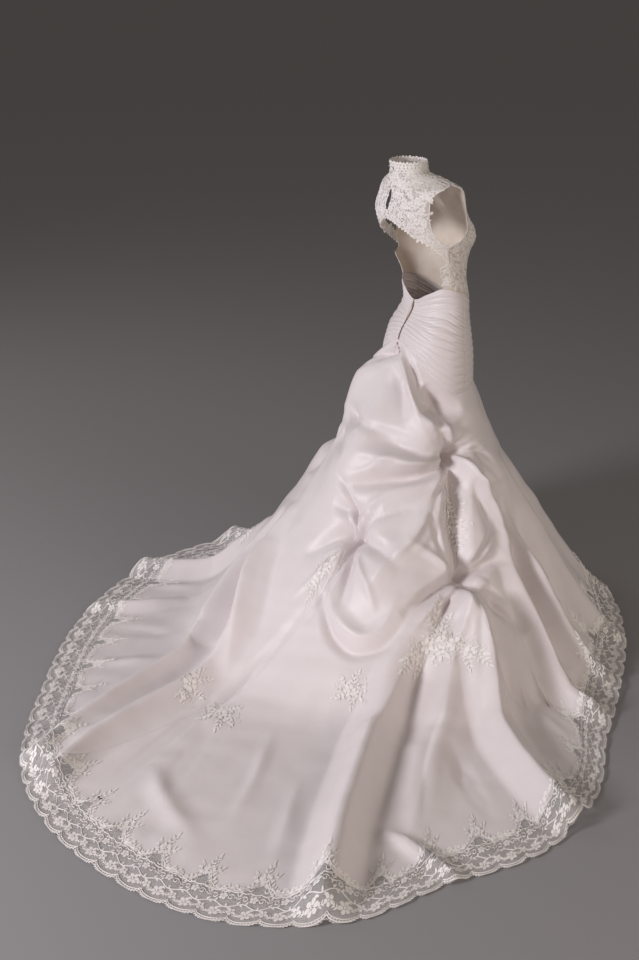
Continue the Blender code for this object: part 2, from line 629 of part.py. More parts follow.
def hip_band(name, turns, columns, pleats, material):
    """A ruched piece of the hip band; its pleats fan out from the zip. Turns are its columns' bearings."""

    def bearing(s, t):
        return np.interp(s, np.linspace(0, 1, len(turns)), turns) + 0 * t

    def height(s, t):
        b = bearing(s, t)
        return band_low(b) + (band_top(b) - band_low(b)) * t

    def pleat(s, t):
        wave = np.cos(2 * math.pi * pleats * t + 0.9 * np.sin(3 * s))
        hold = np.clip(np.minimum(t, 1 - t) / 0.06, 0, 1)
        return PLEAT_HEIGHT * 0.5 * (1 - wave) * hold

    torso_patch(name, bearing, height, columns, 2 * pleats, material, raise_by=pleat)


def zip_pieces(metal):
    low, high = 0.968, 1.084 - SLIDER_LENGTH

    def across(s, t):
        return 180 + ZIP_TURN * (1 - 2 * s) + 0 * t

    torso_patch("zip_chain", lambda s, t: across(1 - s, t), lambda s, t: low + (high - low) * t, 1, 6, metal)

    def proud(s, t):
        return np.full(np.shape(s), 0.0025)

    torso_patch(
        "zip_slider",
        lambda s, t: across(1 - s, t),
        lambda s, t: high - 0.0004 + SLIDER_LENGTH * t,
        2,
        2,
        metal,
        raise_by=proud,
    )


def button(name, place, out, material):
    """A small domed button standing just off the cloth."""
    mesh = bpy.data.meshes.new(name)
    shape = bmesh.new()
    bmesh.ops.create_uvsphere(shape, u_segments=8, v_segments=4, radius=BUTTON_RADIUS)
    shape.to_mesh(mesh)
    shape.free()
    mesh.shade_smooth()
    mesh.materials.append(material)
    thing = bpy.data.objects.new(name, mesh)
    bpy.context.collection.objects.link(thing)
    thing.location = to_row_frame(place + out * (BUTTON_RADIUS + BUTTON_GAP))


def build():
    for thing in list(bpy.data.objects):
        bpy.data.objects.remove(thing, do_unlink=True)
    satin_cloth = finish("satin", SATIN_COLOUR, 0.38)
    lace_cloth = finish("lace", LACE_COLOUR, 0.70)
    metal = finish("zip metal", METAL_COLOUR, 0.40, 0.8)
    pearl = finish("pearl", PEARL_COLOUR, 0.25)

    front_bodice(lace_cloth)
    back_yoke("yoke_back_left", 1, lace_cloth)
    back_yoke("yoke_back_right", -1, lace_cloth)
    collar(lace_cloth)
    step = 2 * BODICE_TURN / BODICE_COLUMNS
    side = step * SIDE_COLUMNS / 2
    under_bodice = np.arange(side, BODICE_TURN + 1, step)
    open_back = np.linspace(BODICE_TURN, 180 - ZIP_TURN, 6)[1:]
    left = np.concatenate((under_bodice, open_back))
    hip_band("hip_band_back_left", left, len(left) - 1, BAND_PLEATS, satin_cloth)
    hip_band("hip_band_back_right", 360 - left[::-1], len(left) - 1, BAND_PLEATS, satin_cloth)
    hip_band("hip_band_front", np.array((-side, side)), SIDE_COLUMNS, BAND_PLEATS, satin_cloth)
    zip_pieces(metal)

    skirt_panel("front", "skirt_front", satin_cloth)
    skirt_panel("left", "skirt_back_left", satin_cloth)
    skirt_panel("right", "skirt_back_right", satin_cloth)
    lace_hem("front", "lace_hem_front", lace_cloth)
    lace_hem("left", "lace_hem_back_left", lace_cloth)
    lace_hem("right", "lace_hem_back_right", lace_cloth)
    for name, (panel, ovals) in MOTIFS.items():
        laid_motif(name, panel, ovals, lace_cloth)

    back = np.array((0.0, 1.0, 0.0))
    button("collar_button", torso(180.0, 1.497), back, pearl)
    bearings, downs = panel_rows("left", panel_shares("left"))
    top, below = skirt(bearings[-1, :2], downs[-1, :2])
    out = facing(skirt, bearings[-1, :2], downs[-1, :2]).mean(axis=0)
    for k, share in enumerate(BUTTON_SHARES):
        button(f"cover_button_{k + 1}", top + (below - top) * share, unit(out), pearl)


build()
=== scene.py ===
import math

import bmesh
import bpy
import numpy as np
from mathutils import Matrix, Vector


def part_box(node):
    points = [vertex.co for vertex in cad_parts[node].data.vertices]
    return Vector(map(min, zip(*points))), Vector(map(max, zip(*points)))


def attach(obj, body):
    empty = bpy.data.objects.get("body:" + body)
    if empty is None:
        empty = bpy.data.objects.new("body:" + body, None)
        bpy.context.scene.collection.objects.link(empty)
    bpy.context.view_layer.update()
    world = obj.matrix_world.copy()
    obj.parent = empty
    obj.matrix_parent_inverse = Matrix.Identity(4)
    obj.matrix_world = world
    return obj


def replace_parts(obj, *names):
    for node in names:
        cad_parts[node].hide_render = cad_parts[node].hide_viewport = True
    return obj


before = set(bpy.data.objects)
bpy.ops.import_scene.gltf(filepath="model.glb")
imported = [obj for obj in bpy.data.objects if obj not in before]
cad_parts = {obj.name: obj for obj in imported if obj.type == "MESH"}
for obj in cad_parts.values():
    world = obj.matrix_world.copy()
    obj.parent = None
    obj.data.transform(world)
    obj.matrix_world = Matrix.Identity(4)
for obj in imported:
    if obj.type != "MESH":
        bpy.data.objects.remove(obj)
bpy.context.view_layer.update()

# The dress in metres: bearings in degrees round the figure, 0 front, 90 left side, 180 back, 270 right side
HOLD_HEIGHT, SHOULDER_BACK = 1.450, 0.080
CLOTH, WAIST_GAP, FLOOR_GAP = 0.0020, 0.0017, 0.0004
LACE_WIDTH, SCALLOP_PITCH, SCALLOP_DEPTH = 0.110, 0.080, 0.016
# Skirt's fall from band to floor: shares of the spread and of the height at its two guide points
TOP_SHARE, TOP_DROP = 0.17, 0.74
LOW_SHARE, LOW_DROP = 0.49, 0.33
LANDING_SOFTNESS = 0.030
# How a panel's rows are shared out between its cone and its train
CONE_LENGTH, TRAIN_WEIGHT = 1.15, 0.50
# Hip band, bodice and fastenings
PLEAT_HEIGHT, BAND_PLEATS, BAND_ROWS = 0.004, 12, 150
BODICE_TURN = 117.0
CUP_TURN, CUP_SPREAD, CUP_HEIGHT, CUP_RISE, CUP_DEPTH = 34.0, 22.0, 1.300, 0.055, 0.016
ZIP_TURN, ZIP_LOW, ZIP_HIGH, ZIP_STOP, ZIP_TEETH = 0.55, 0.968, 1.084, 0.010, 58
BUTTON_RADIUS = 0.0045
# Body sections: height, half width, half depth, centre back, rise at the sides, squareness, sides forward
TORSO = (
    (0.800, 0.168, 0.122, 0.012, 0.000, 2.2, 0.000),
    (0.900, 0.163, 0.122, 0.016, 0.000, 2.2, 0.000),
    (0.980, 0.150, 0.112, 0.012, 0.000, 2.2, 0.000),
    (1.080, 0.125, 0.083, -0.010, 0.000, 2.1, 0.000),
    (1.150, 0.127, 0.082, 0.004, 0.000, 2.1, 0.000),
    (1.220, 0.136, 0.098, 0.024, 0.000, 2.2, 0.000),
    (1.300, 0.150, 0.118, 0.040, 0.000, 2.3, 0.004),
    (1.370, 0.160, 0.106, 0.074, 0.005, 2.4, 0.028),
    (1.425, 0.158, 0.078, 0.090, 0.020, 2.3, 0.052),
    (1.460, 0.104, 0.064, 0.098, 0.012, 2.1, 0.036),
    (1.485, 0.060, 0.056, 0.104, 0.004, 2.0, 0.004),
    (1.525, 0.056, 0.054, 0.108, 0.000, 2.0, 0.000),
)
# Hip band edges: bearing, height of the lower edge, height of the upper edge
BAND = (
    (0.0, 0.860, 1.060),
    (60.0, 0.830, 1.110),
    (90.0, 0.820, 1.132),
    (117.0, 0.855, 1.142),
    (150.0, 0.930, 1.118),
    (180.0, 0.966, 1.090),
    (210.0, 0.930, 1.118),
    (243.0, 0.855, 1.142),
    (270.0, 0.820, 1.132),
    (300.0, 0.830, 1.110),
)
# Skirt spread: bearing, radius where it lands, radius of the lace edge
SPREAD = (
    (0.0, 0.600, 0.640),
    (40.0, 0.620, 0.655),
    (75.0, 0.640, 0.700),
    (108.0, 0.680, 0.830),
    (133.0, 0.740, 1.020),
    (150.0, 0.780, 1.130),
    (172.0, 0.820, 1.300),
    (193.0, 0.840, 1.570),
    (204.0, 0.840, 1.647),
    (217.0, 0.840, 1.686),
    (229.0, 0.840, 1.609),
    (238.0, 0.820, 1.450),
    (249.0, 0.800, 1.339),
    (259.0, 0.760, 1.173),
    (271.0, 0.720, 0.930),
    (294.0, 0.680, 0.743),
    (317.0, 0.630, 0.672),
)
# Seams of the skirt panels: way down (0 band, 1 floor, 2 hem), bearing of left side, centre back, right side
SEAMS = (
    (0.00, 78.0, 180.0, 282.0),
    (0.10, 92.0, 182.0, 269.0),
    (0.23, 106.0, 184.0, 256.0),
    (0.40, 110.0, 189.0, 252.0),
    (0.54, 112.0, 203.0, 250.5),
    (0.64, 112.0, 203.0, 250.5),
    (0.80, 112.0, 199.0, 252.0),
    (1.00, 112.0, 195.0, 254.0),
    (1.30, 113.0, 193.0, 255.0),
    (2.00, 114.0, 192.0, 256.0),
)
# Full places: bearing, way down, spread in degrees, spread down, rise off the form, sag
POUFS = (
    (157.0, 0.15, 15.0, 0.13, 0.045, 0.000),
    (187.0, 0.36, 15.0, 0.15, 0.050, 0.020),
    (222.0, 0.30, 18.0, 0.07, 0.016, 0.010),
    (219.0, 0.63, 13.0, 0.11, 0.042, 0.022),
    (262.0, 0.47, 8.0, 0.12, 0.020, 0.005),
    (142.0, 0.40, 14.0, 0.16, 0.030, 0.010),
    (100.0, 0.47, 8.0, 0.12, 0.020, 0.005),
    (132.0, 0.66, 13.0, 0.12, 0.030, 0.015),
)
# Tacks that pick the skirt up: bearing, way down, depth, radius
TACKS = (
    (256.0, 0.23, 0.030, 0.040),
    (250.0, 0.62, 0.034, 0.045),
    (204.0, 0.55, 0.040, 0.045),
    (193.0, 1.17, 0.010, 0.030),
    (107.0, 0.23, 0.028, 0.040),
    (112.0, 0.61, 0.030, 0.045),
)
# Folds: rise (minus for a trough), half width, fades in, fades out, path of bearing and way down
FOLDS = (
    (-0.012, 0.026, 0, 1, ((185, 0.03), (168, 0.07), (152, 0.13))),
    (0.016, 0.032, 0, 1, ((201, 0.04), (215, 0.11), (227, 0.19), (241, 0.25))),
    (-0.020, 0.045, 1, 1, ((192, 0.06), (204, 0.14), (214, 0.21))),
    (-0.014, 0.024, 0, 1, ((198, 0.03), (222, 0.05), (249, 0.06), (268, 0.06))),
    (-0.030, 0.050, 1, 1, ((226, 0.05), (245, 0.09), (253, 0.14))),
    (0.018, 0.030, 1, 1, ((227, 0.15), (243, 0.17), (255, 0.16))),
    (-0.018, 0.030, 1, 0, ((194, 0.29), (212, 0.28), (229, 0.27), (250, 0.235))),
    (0.016, 0.032, 1, 0, ((190, 0.35), (208, 0.335), (229, 0.30), (251, 0.25))),
    (-0.032, 0.026, 0, 1, ((256, 0.23), (243, 0.28), (229, 0.33), (214, 0.38), (200, 0.42), (188, 0.45))),
    (-0.036, 0.050, 1, 1, ((143, 0.26), (149, 0.37), (154, 0.50))),
    (-0.016, 0.028, 1, 1, ((158, 0.25), (172, 0.28), (184, 0.29))),
    (-0.016, 0.028, 1, 1, ((156, 0.31), (170, 0.35), (184, 0.38))),
    (-0.016, 0.024, 1, 1, ((190, 0.51), (202, 0.495), (214, 0.47))),
    (-0.026, 0.026, 0, 1, ((205, 0.56), (207, 0.63), (209, 0.73))),
    (-0.016, 0.024, 0, 1, ((207, 0.55), (216, 0.56), (227, 0.59))),
    (-0.016, 0.024, 0, 1, ((202, 0.56), (196, 0.59), (188, 0.66))),
    (0.022, 0.034, 1, 1, ((248, 0.34), (236, 0.44), (228, 0.53), (220, 0.60), (216, 0.68))),
    (-0.042, 0.034, 0, 0, ((255, 0.25), (251, 0.37), (249, 0.46), (249, 0.54), (250, 0.60))),
    (0.026, 0.026, 0, 1, ((258, 0.25), (267, 0.34), (273, 0.44), (276, 0.54), (278, 0.64))),
    (-0.036, 0.036, 1, 1, ((280, 0.24), (284, 0.40), (282, 0.56), (279, 0.70), (281, 0.82))),
    (-0.024, 0.024, 0, 1, ((247, 0.61), (238, 0.65), (228, 0.71))),
    (-0.020, 0.022, 0, 1, ((248, 0.63), (242, 0.69), (238, 0.76))),
    (-0.024, 0.026, 0, 1, ((252, 0.61), (260, 0.585), (270, 0.57))),
    (-0.024, 0.026, 0, 1, ((252, 0.63), (261, 0.70), (269, 0.80))),
    (-0.024, 0.024, 0, 1, ((251, 0.64), (255, 0.72), (256, 0.86), (260, 1.00))),
    (0.034, 0.045, 1, 1, ((160, 0.58), (168, 0.71), (177, 0.80), (184, 0.88), (190, 1.00))),
    (-0.034, 0.040, 1, 1, ((156, 0.62), (165, 0.76), (174, 0.85), (181, 0.93))),
    (0.050, 0.050, 1, 0, ((150, 0.60), (161, 0.80), (170, 0.91), (177, 1.05), (181, 1.35), (189, 1.90))),
    (-0.050, 0.060, 1, 1, ((239, 0.76), (233, 0.90), (231, 1.05))),
    (0.052, 0.060, 1, 0, ((235, 0.74), (229, 0.90), (226, 1.08), (226, 1.40), (227, 1.90))),
    (0.036, 0.070, 1, 1, ((246, 0.72), (240, 0.95), (237, 1.20), (234, 1.70))),
    (0.056, 0.055, 0, 0, ((251, 0.66), (252, 0.80), (251, 1.00), (252, 1.40), (254, 1.90))),
    (0.014, 0.040, 1, 1, ((199, 1.52), (205, 1.62), (213, 1.72))),
    (0.018, 0.026, 1, 0, ((231, 1.55), (236, 1.78), (239, 1.97))),
    (0.032, 0.036, 1, 0, ((273, 0.50), (273, 0.72), (272, 1.00), (273, 1.60))),
    (-0.028, 0.032, 1, 1, ((278, 0.55), (277, 0.75), (278, 0.95))),
    (0.030, 0.036, 1, 0, ((286, 0.36), (285, 0.60), (284, 0.85), (285, 1.20))),
    (-0.030, 0.036, 1, 1, ((292, 0.42), (292, 0.66), (293, 0.92))),
    (0.022, 0.040, 1, 0, ((303, 0.30), (304, 0.60), (305, 1.00))),
    (-0.020, 0.040, 1, 1, ((318, 0.30), (319, 0.60), (320, 1.00))),
    (0.020, 0.045, 1, 0, ((334, 0.34), (335, 0.60), (336, 1.00))),
    (-0.018, 0.040, 1, 1, ((350, 0.36), (350, 0.66), (351, 1.00))),
    (0.020, 0.045, 1, 0, ((6, 0.30), (6, 0.60), (5, 1.00))),
    (-0.020, 0.042, 1, 1, ((24, 0.34), (23, 0.62), (22, 1.00))),
    (0.022, 0.045, 1, 0, ((42, 0.28), (41, 0.60), (40, 1.00))),
    (-0.020, 0.040, 1, 1, ((58, 0.32), (57, 0.62), (57, 1.00))),
    (0.026, 0.042, 1, 0, ((74, 0.30), (73, 0.60), (73, 1.20))),
    (-0.024, 0.036, 1, 1, ((85, 0.34), (84, 0.62), (85, 1.00))),
    (-0.036, 0.034, 0, 0, ((107, 0.25), (110, 0.40), (112, 0.60))),
    (0.024, 0.028, 0, 1, ((105, 0.25), (96, 0.38), (92, 0.54), (91, 0.66))),
    (-0.026, 0.028, 0, 1, ((108, 0.23), (122, 0.31), (138, 0.38), (156, 0.43))),
    (-0.024, 0.026, 0, 1, ((114, 0.61), (124, 0.66), (134, 0.74))),
    (-0.024, 0.026, 0, 1, ((110, 0.61), (102, 0.66), (95, 0.78))),
    (0.044, 0.050, 0, 0, ((112, 0.66), (113, 0.85), (114, 1.10), (114, 1.80))),
    (0.036, 0.050, 1, 0, ((132, 0.70), (134, 0.95), (135, 1.30), (136, 1.90))),
    (0.020, 0.032, 1, 0, ((150, 1.10), (152, 1.50), (152, 1.90))),
)
# Side edge of the front bodice, as bearing from the front: height, bearing
SIDE_EDGE = (
    (1.040, BODICE_TURN),
    (1.207, BODICE_TURN),
    (1.226, 99.95),
    (1.272, 99.95),
    (1.293, 82.0),
    (1.330, 66.0),
    (1.390, 64.0),
    (1.430, 80.0),
    (1.445, 89.99),
    (1.486, 89.99),
)
# Outer edge of the back yoke, as bearing from the back: height, bearing
YOKE_EDGE = (
    (1.235, 80.0),
    (1.281, 80.0),
    (1.302, 68.0),
    (1.340, 59.0),
    (1.385, 55.0),
    (1.412, 52.0),
    (1.432, 66.0),
    (1.445, 90.0),
    (1.486, 90.0),
)
# Yoke, keyhole and collar: heights, and bearings from the back
NECK_TOP = 1.486
YOKE_LOW_CENTRE, YOKE_LOW_SIDE = 1.352, 1.238
KEYHOLE_LOW, KEYHOLE_HIGH, KEYHOLE_TURN, YOKE_START = 1.372, 1.440, 2.3, 0.04
COLLAR_TOP, COLLAR_SCALLOP, COLLAR_SCALLOPS = 1.512, 0.004, 16
COLLAR_START, COLLAR_ROUND = 180.6, 358.8
# Bearings at which the run round the figure is measured, and the heights that the lace is charted at
TURNS = np.linspace(-180, 540, 1441)
CHEST_LEVEL, SHOULDER_LEVEL = 1.28, 1.36
# Folds: how many half widths each reaches, over what share its ends fade, and how
FOLD_REACH, FADE_IN, FADE_OUT, FADE_POWER = 1.6, 0.35, 0.55, 0.8
# Crests of the finished folds: share of the rise and of the half width, and a smaller share on broad folds
FOLD_CREST, CREST_WIDTH, BROAD_FOLD, BROAD_CREST = 0.34, 0.42, 0.040, 0.6
CREASE_GAIN, CREST_ROUND = 1.5, 0.0035
# Soft unevenness of the cloth, higher round one way down near the hem, none at the top
RIPPLE_HEIGHT, RIPPLE_AT_HEM, RIPPLE_DOWN, RIPPLE_SPREAD = 0.0014, 0.0034, 1.86, 0.09
TOP_HOLD = 0.05
# Finished cloth: thickness of the satin, how far net and motifs stand off it, and its grid
SATIN_THICK, NET_LIFT, MOTIF_LIFT = 0.0009, 0.0004, 0.0012
FINE_COLUMNS = {"front": 170, "left": 150, "right": 170}
FINE_ROWS = 190
# Lace border: how far up it is charted, the stretch and place of its peaks, the satin cut back under them
BORDER_REACH, BORDER_STEPS, BORDER_COLUMNS = 0.260, 19, 420
PEAK_TALL, PEAK_WIDE, PEAK_DROP = 1.60, 1.12, -0.066
NOTCH_DEPTH, NOTCH_HALF, NOTCH_FROM = 0.040, 0.040, 0.70
# Edges tucked under the band and under the next panel, and the band's own seams
TUCK_UP, TUCK_IN, TUCK_ACROSS = 0.008, 0.0020, 0.0016
SEAM_OVER, SEAM_SINK = 0.5, 0.0014
# Studio: the camera's bearing, pitch and place, the light from all round, the lamps' aim and the floor
CAMERA_TURN, CAMERA_PITCH, CAMERA_PLACE = 240.0, 23.2, (-3.329, 2.253, 0.750)
WORLD_COLOUR, WORLD_LIGHT, LIGHT_AIM = (1.0, 0.93, 0.87), 0.16, (0, 0.4, -0.9)
FLOOR_COLOUR = (0.28, 0.268, 0.272)
# Beads of a peak, across and up from the hem
PEAK_BEADS = (
    (0, 0.146),
    (0, 0.160),
    (0, 0.172),
    (-0.014, 0.138),
    (0.014, 0.138),
    (-0.028, 0.126),
    (0.028, 0.126),
    (-0.060, 0.1175),
    (0.060, 0.1175),
    (0, 0.130),
)
# Share of a tack's depth that the finished cloth fills, as it is gathered there, and its spread in metres
TACK_FILL, FILL_SPREAD = 0.45, 0.026
# Puckers that run out from the tacks: bearing, way down, height, reach, first angle
GATHERS = (
    (256.0, 0.23, 0.0026, 0.032, 0.3),
    (250.0, 0.62, 0.0028, 0.034, 1.1),
    (204.0, 0.55, 0.0024, 0.030, 2.3),
    (193.0, 1.17, 0.0020, 0.028, 0.9),
    (107.0, 0.23, 0.0026, 0.032, 1.9),
    (112.0, 0.61, 0.0028, 0.034, 0.2),
)
# Small creases of the finished cloth: rise, half width, fades in, fades out, path of bearing and way down
CREASES = (
    (-0.007, 0.012, 0, 1, ((186, 0.02), (172, 0.05), (160, 0.09))),
    (0.006, 0.010, 0, 1, ((190, 0.02), (205, 0.07), (218, 0.14))),
    (-0.007, 0.011, 0, 1, ((200, 0.02), (216, 0.07), (229, 0.13))),
    (0.006, 0.010, 0, 1, ((214, 0.02), (233, 0.07), (247, 0.13))),
    (0.009, 0.013, 0, 1, ((256, 0.24), (245, 0.265), (229, 0.30), (215, 0.33))),
    (-0.008, 0.011, 0, 1, ((255, 0.25), (241, 0.30), (227, 0.35), (212, 0.40))),
    (0.008, 0.012, 0, 1, ((255, 0.26), (243, 0.33), (234, 0.39), (222, 0.45))),
    (-0.009, 0.012, 0, 1, ((254, 0.22), (246, 0.19), (234, 0.16))),
    (0.008, 0.012, 0, 1, ((254, 0.20), (249, 0.15), (245, 0.10))),
    (-0.008, 0.011, 0, 1, ((204, 0.54), (200, 0.49), (193, 0.45), (185, 0.42))),
    (0.008, 0.012, 0, 1, ((204, 0.54), (207, 0.48), (213, 0.43), (222, 0.38))),
    (-0.007, 0.010, 0, 1, ((205, 0.55), (211, 0.50), (220, 0.46), (229, 0.43))),
    (0.007, 0.010, 0, 1, ((204, 0.56), (201, 0.62), (197, 0.68), (192, 0.76))),
    (0.008, 0.011, 0, 1, ((205, 0.57), (211, 0.61), (217, 0.66), (221, 0.72))),
    (-0.007, 0.009, 0, 1, ((205, 0.56), (204, 0.62), (203, 0.70), (201, 0.80))),
    (0.009, 0.012, 0, 1, ((249, 0.60), (242, 0.57), (234, 0.54), (226, 0.52))),
    (-0.008, 0.011, 0, 1, ((249, 0.60), (243, 0.55), (239, 0.49), (235, 0.43))),
    (0.008, 0.011, 0, 1, ((249, 0.62), (243, 0.65), (236, 0.70), (230, 0.78))),
    (0.008, 0.011, 0, 1, ((251, 0.62), (258, 0.61), (265, 0.60), (271, 0.61))),
    (0.008, 0.011, 0, 1, ((251, 0.63), (258, 0.67), (265, 0.73), (269, 0.82))),
    (-0.007, 0.009, 0, 1, ((250, 0.63), (251, 0.70), (250, 0.79), (249, 0.90))),
    (0.007, 0.010, 0, 1, ((250, 0.63), (248, 0.70), (244, 0.79), (239, 0.90))),
    (-0.008, 0.010, 0, 1, ((251, 0.60), (259, 0.55), (266, 0.50), (271, 0.46))),
    (0.009, 0.012, 0, 1, ((257, 0.23), (263, 0.27), (268, 0.32), (271, 0.40))),
    (-0.008, 0.010, 0, 1, ((257, 0.22), (265, 0.21), (271, 0.21))),
    (-0.009, 0.011, 0, 1, ((257, 0.24), (263, 0.31), (265, 0.39), (266, 0.48))),
    (0.034, 0.046, 1, 0,
     ((168, 0.68), (176, 0.80), (183, 0.90), (186, 1.05), (187, 1.25), (190, 1.67), (193, 1.88))),
    (-0.012, 0.018, 1, 0, ((199, 0.74), (196, 0.86), (194, 0.97), (194, 1.19), (196, 1.42), (199, 1.78))),
    (-0.014, 0.016, 1, 1,
     ((199, 0.70), (205, 0.75), (210, 0.80), (217, 0.825), (224, 0.80), (228, 0.75), (231, 0.68))),
    (0.014, 0.026, 1, 1, ((203, 0.70), (210, 0.755), (218, 0.782), (223, 0.755), (227, 0.65))),
    (0.014, 0.040, 1, 0, ((233, 0.78), (229, 0.90), (227, 1.10), (227, 1.45), (228, 1.88))),
    (-0.010, 0.020, 1, 1, ((243, 0.84), (238, 1.02), (236, 1.30), (236, 1.60))),
    (-0.010, 0.014, 0, 1, ((262, 0.22), (275, 0.23), (288, 0.30), (294, 0.38))),
    (0.009, 0.013, 0, 1, ((260, 0.24), (262, 0.30), (270, 0.35), (286, 0.40))),
    (-0.009, 0.013, 0, 1, ((254, 0.24), (245, 0.32), (236, 0.45), (229, 0.54), (221, 0.58))),
    (-0.008, 0.012, 0, 1, ((186, 0.02), (166, 0.05), (146, 0.10), (150, 0.19))),
    (0.008, 0.012, 0, 1, ((189, 0.02), (204, 0.06), (216, 0.125), (232, 0.17), (248, 0.20))),
    (-0.007, 0.014, 1, 1, ((158, 0.27), (188, 0.275), (206, 0.262), (227, 0.232))),
    (0.007, 0.014, 1, 1, ((190, 0.436), (200, 0.388), (214, 0.31), (235, 0.24))),
    (-0.008, 0.014, 1, 1, ((214, 0.088), (228, 0.112), (252, 0.094), (270, 0.055))),
    (0.006, 0.020, 1, 1, ((208, 1.10), (212, 1.35), (214, 1.60))),
    (-0.006, 0.024, 1, 1, ((199, 1.20), (202, 1.45), (206, 1.66))),
    (0.006, 0.024, 1, 1, ((218, 1.30), (220, 1.55), (221, 1.75))),
    (-0.007, 0.024, 1, 1, ((241, 1.10), (243, 1.40), (245, 1.70))),
    (0.007, 0.022, 1, 1, ((262, 1.00), (263, 1.25), (264, 1.55))),
    (-0.008, 0.020, 1, 1, ((264, 0.90), (267, 1.10), (268, 1.40))),
    (0.007, 0.022, 1, 1, ((174, 1.20), (172, 1.45), (170, 1.70))),
    (-0.007, 0.024, 1, 1, ((165, 1.15), (162, 1.40), (160, 1.70))),
    (0.007, 0.022, 1, 1, ((143, 1.05), (143, 1.35), (142, 1.65))),
    (0.008, 0.012, 0, 1, ((107, 0.23), (116, 0.27), (127, 0.32), (138, 0.36))),
    (-0.008, 0.011, 0, 1, ((108, 0.22), (118, 0.21), (130, 0.20))),
    (0.008, 0.012, 0, 1, ((107, 0.22), (100, 0.26), (94, 0.33))),
    (-0.008, 0.011, 0, 1, ((106, 0.24), (99, 0.30), (95, 0.40))),
    (0.008, 0.011, 0, 1, ((113, 0.62), (120, 0.63), (130, 0.66))),
    (0.008, 0.011, 0, 1, ((111, 0.62), (104, 0.61), (96, 0.63))),
    (-0.008, 0.011, 0, 1, ((112, 0.63), (113, 0.72), (114, 0.84))),
    (0.007, 0.010, 0, 1, ((112, 0.60), (119, 0.55), (128, 0.50))),
)


def gentle_slopes(keys, values):
    """Slopes at a table's points that let the curve through them swing past none of them."""
    spans = np.diff(keys)
    rates = np.diff(values) / spans
    before, after = rates[:-1], rates[1:]
    heavy = 2 * spans[1:] + spans[:-1]
    light = spans[1:] + 2 * spans[:-1]
    same_way = before * after > 0
    mixed = heavy / np.where(same_way, before, 1) + light / np.where(same_way, after, 1)
    inner = np.where(same_way, (heavy + light) / mixed, 0)
    return np.concatenate(([rates[0]], inner, [rates[-1]]))


def smooth(keys, values, x, period=None):
    """The smooth curve through a table's points, read at x; it closes on itself after a period."""
    keys = np.asarray(keys, float)
    values = np.asarray(values, float)
    x = np.asarray(x, float)
    if period:
        x = np.mod(x - keys[0], period) + keys[0]
        keys = np.concatenate((keys[-2:] - period, keys, keys[:2] + period))
        values = np.concatenate((values[-2:], values, values[:2]))
    slopes = gentle_slopes(keys, values)
    i = np.clip(np.searchsorted(keys, x, "right") - 1, 0, len(keys) - 2)
    span = keys[i + 1] - keys[i]
    s = np.clip((x - keys[i]) / span, 0, 1)
    return (
        (2 * s**3 - 3 * s**2 + 1) * values[i]
        + (s**3 - 2 * s**2 + s) * span * slopes[i]
        + (3 * s**2 - 2 * s**3) * values[i + 1]
        + (s**3 - s**2) * span * slopes[i + 1]
    )


def run_of(line):
    """Distance along a line of points, at each of them."""
    return np.concatenate(([0], np.cumsum(np.linalg.norm(np.diff(line, axis=0), axis=1))))


def column(table, k):
    return [row[k] for row in table]


def power(value, exponent):
    return np.sign(value) * np.abs(value) ** exponent


def torso(bearing, height):
    """A point on the figure's form, in the figure's own frame: waist centre over the origin, floor at 0."""
    bearing, height = np.broadcast_arrays(np.asarray(bearing, float), np.asarray(height, float))
    width, depth, centre, rise, square, forward = (
        smooth(column(TORSO, 0), column(TORSO, k), height) for k in range(1, 7)
    )
    turn = np.radians(bearing)
    x = width * power(np.sin(turn), 2 / square)
    y = centre - depth * power(np.cos(turn), 2 / square) - forward * np.sin(turn) ** 2
    z = height + rise * np.sin(turn) ** 2
    for side in (-1, 1):
        off = (np.mod(bearing - side * CUP_TURN + 180, 360) - 180) / CUP_SPREAD
        cup = CUP_DEPTH * np.exp(-off**2 - ((height - CUP_HEIGHT) / CUP_RISE) ** 2)
        x = x + cup * np.sin(turn)
        y = y - cup * np.cos(turn)
    return np.stack((x, y, z), -1)


def band_low(bearing):
    return smooth(column(BAND, 0), column(BAND, 1), bearing, 360)


def band_top(bearing):
    return smooth(column(BAND, 0), column(BAND, 2), bearing, 360)


def skirt_form(bearing, down):
    """The skirt without folds: a flared cone from the hip band to the floor, then flat out to the hem."""
    bearing, down = np.broadcast_arrays(np.asarray(bearing, float), np.asarray(down, float))
    land, hem = (smooth(column(SPREAD, 0), column(SPREAD, k), bearing, 360) for k in (1, 2))
    top = torso(bearing, band_low(bearing) - WAIST_GAP)
    turn = np.radians(bearing)
    way = np.stack((np.sin(turn), -np.cos(turn)), -1)
    t = np.clip(down, 0, 1)
    q = 1 - t
    share = 3 * q * q * t * TOP_SHARE + 3 * q * t * t * LOW_SHARE + t**3
    height = top[..., 2] * (q**3 + 3 * q * q * t * TOP_DROP + 3 * q * t * t * LOW_DROP)
    past = np.maximum(down - 1, 0) * (hem - land)
    reach = (land * share + past)[..., None]
    plan = top[..., :2] * (1 - share)[..., None] + way * reach
    fall = top[..., 2] * LOW_DROP / (land * (1 - LOW_SHARE))
    height = height - fall * past
    soft = LANDING_SOFTNESS * np.clip(down / 0.6, 0, 1)
    height = 0.5 * (height + np.sqrt(height * height + 4 * soft * soft))
    return np.concatenate((plan, height[..., None]), -1)


def facing(surface, bearing, down):
    """Unit normals of a surface of bearing and way down, pointing out of the dress."""
    step_b, step_d = 1.4, 0.016
    across = surface(bearing + step_b, down) - surface(bearing - step_b, down)
    along = surface(bearing, down + step_d) - surface(bearing, np.maximum(down - step_d, 0))
    out = np.cross(along, across)
    return out / np.linalg.norm(out, axis=-1, keepdims=True)


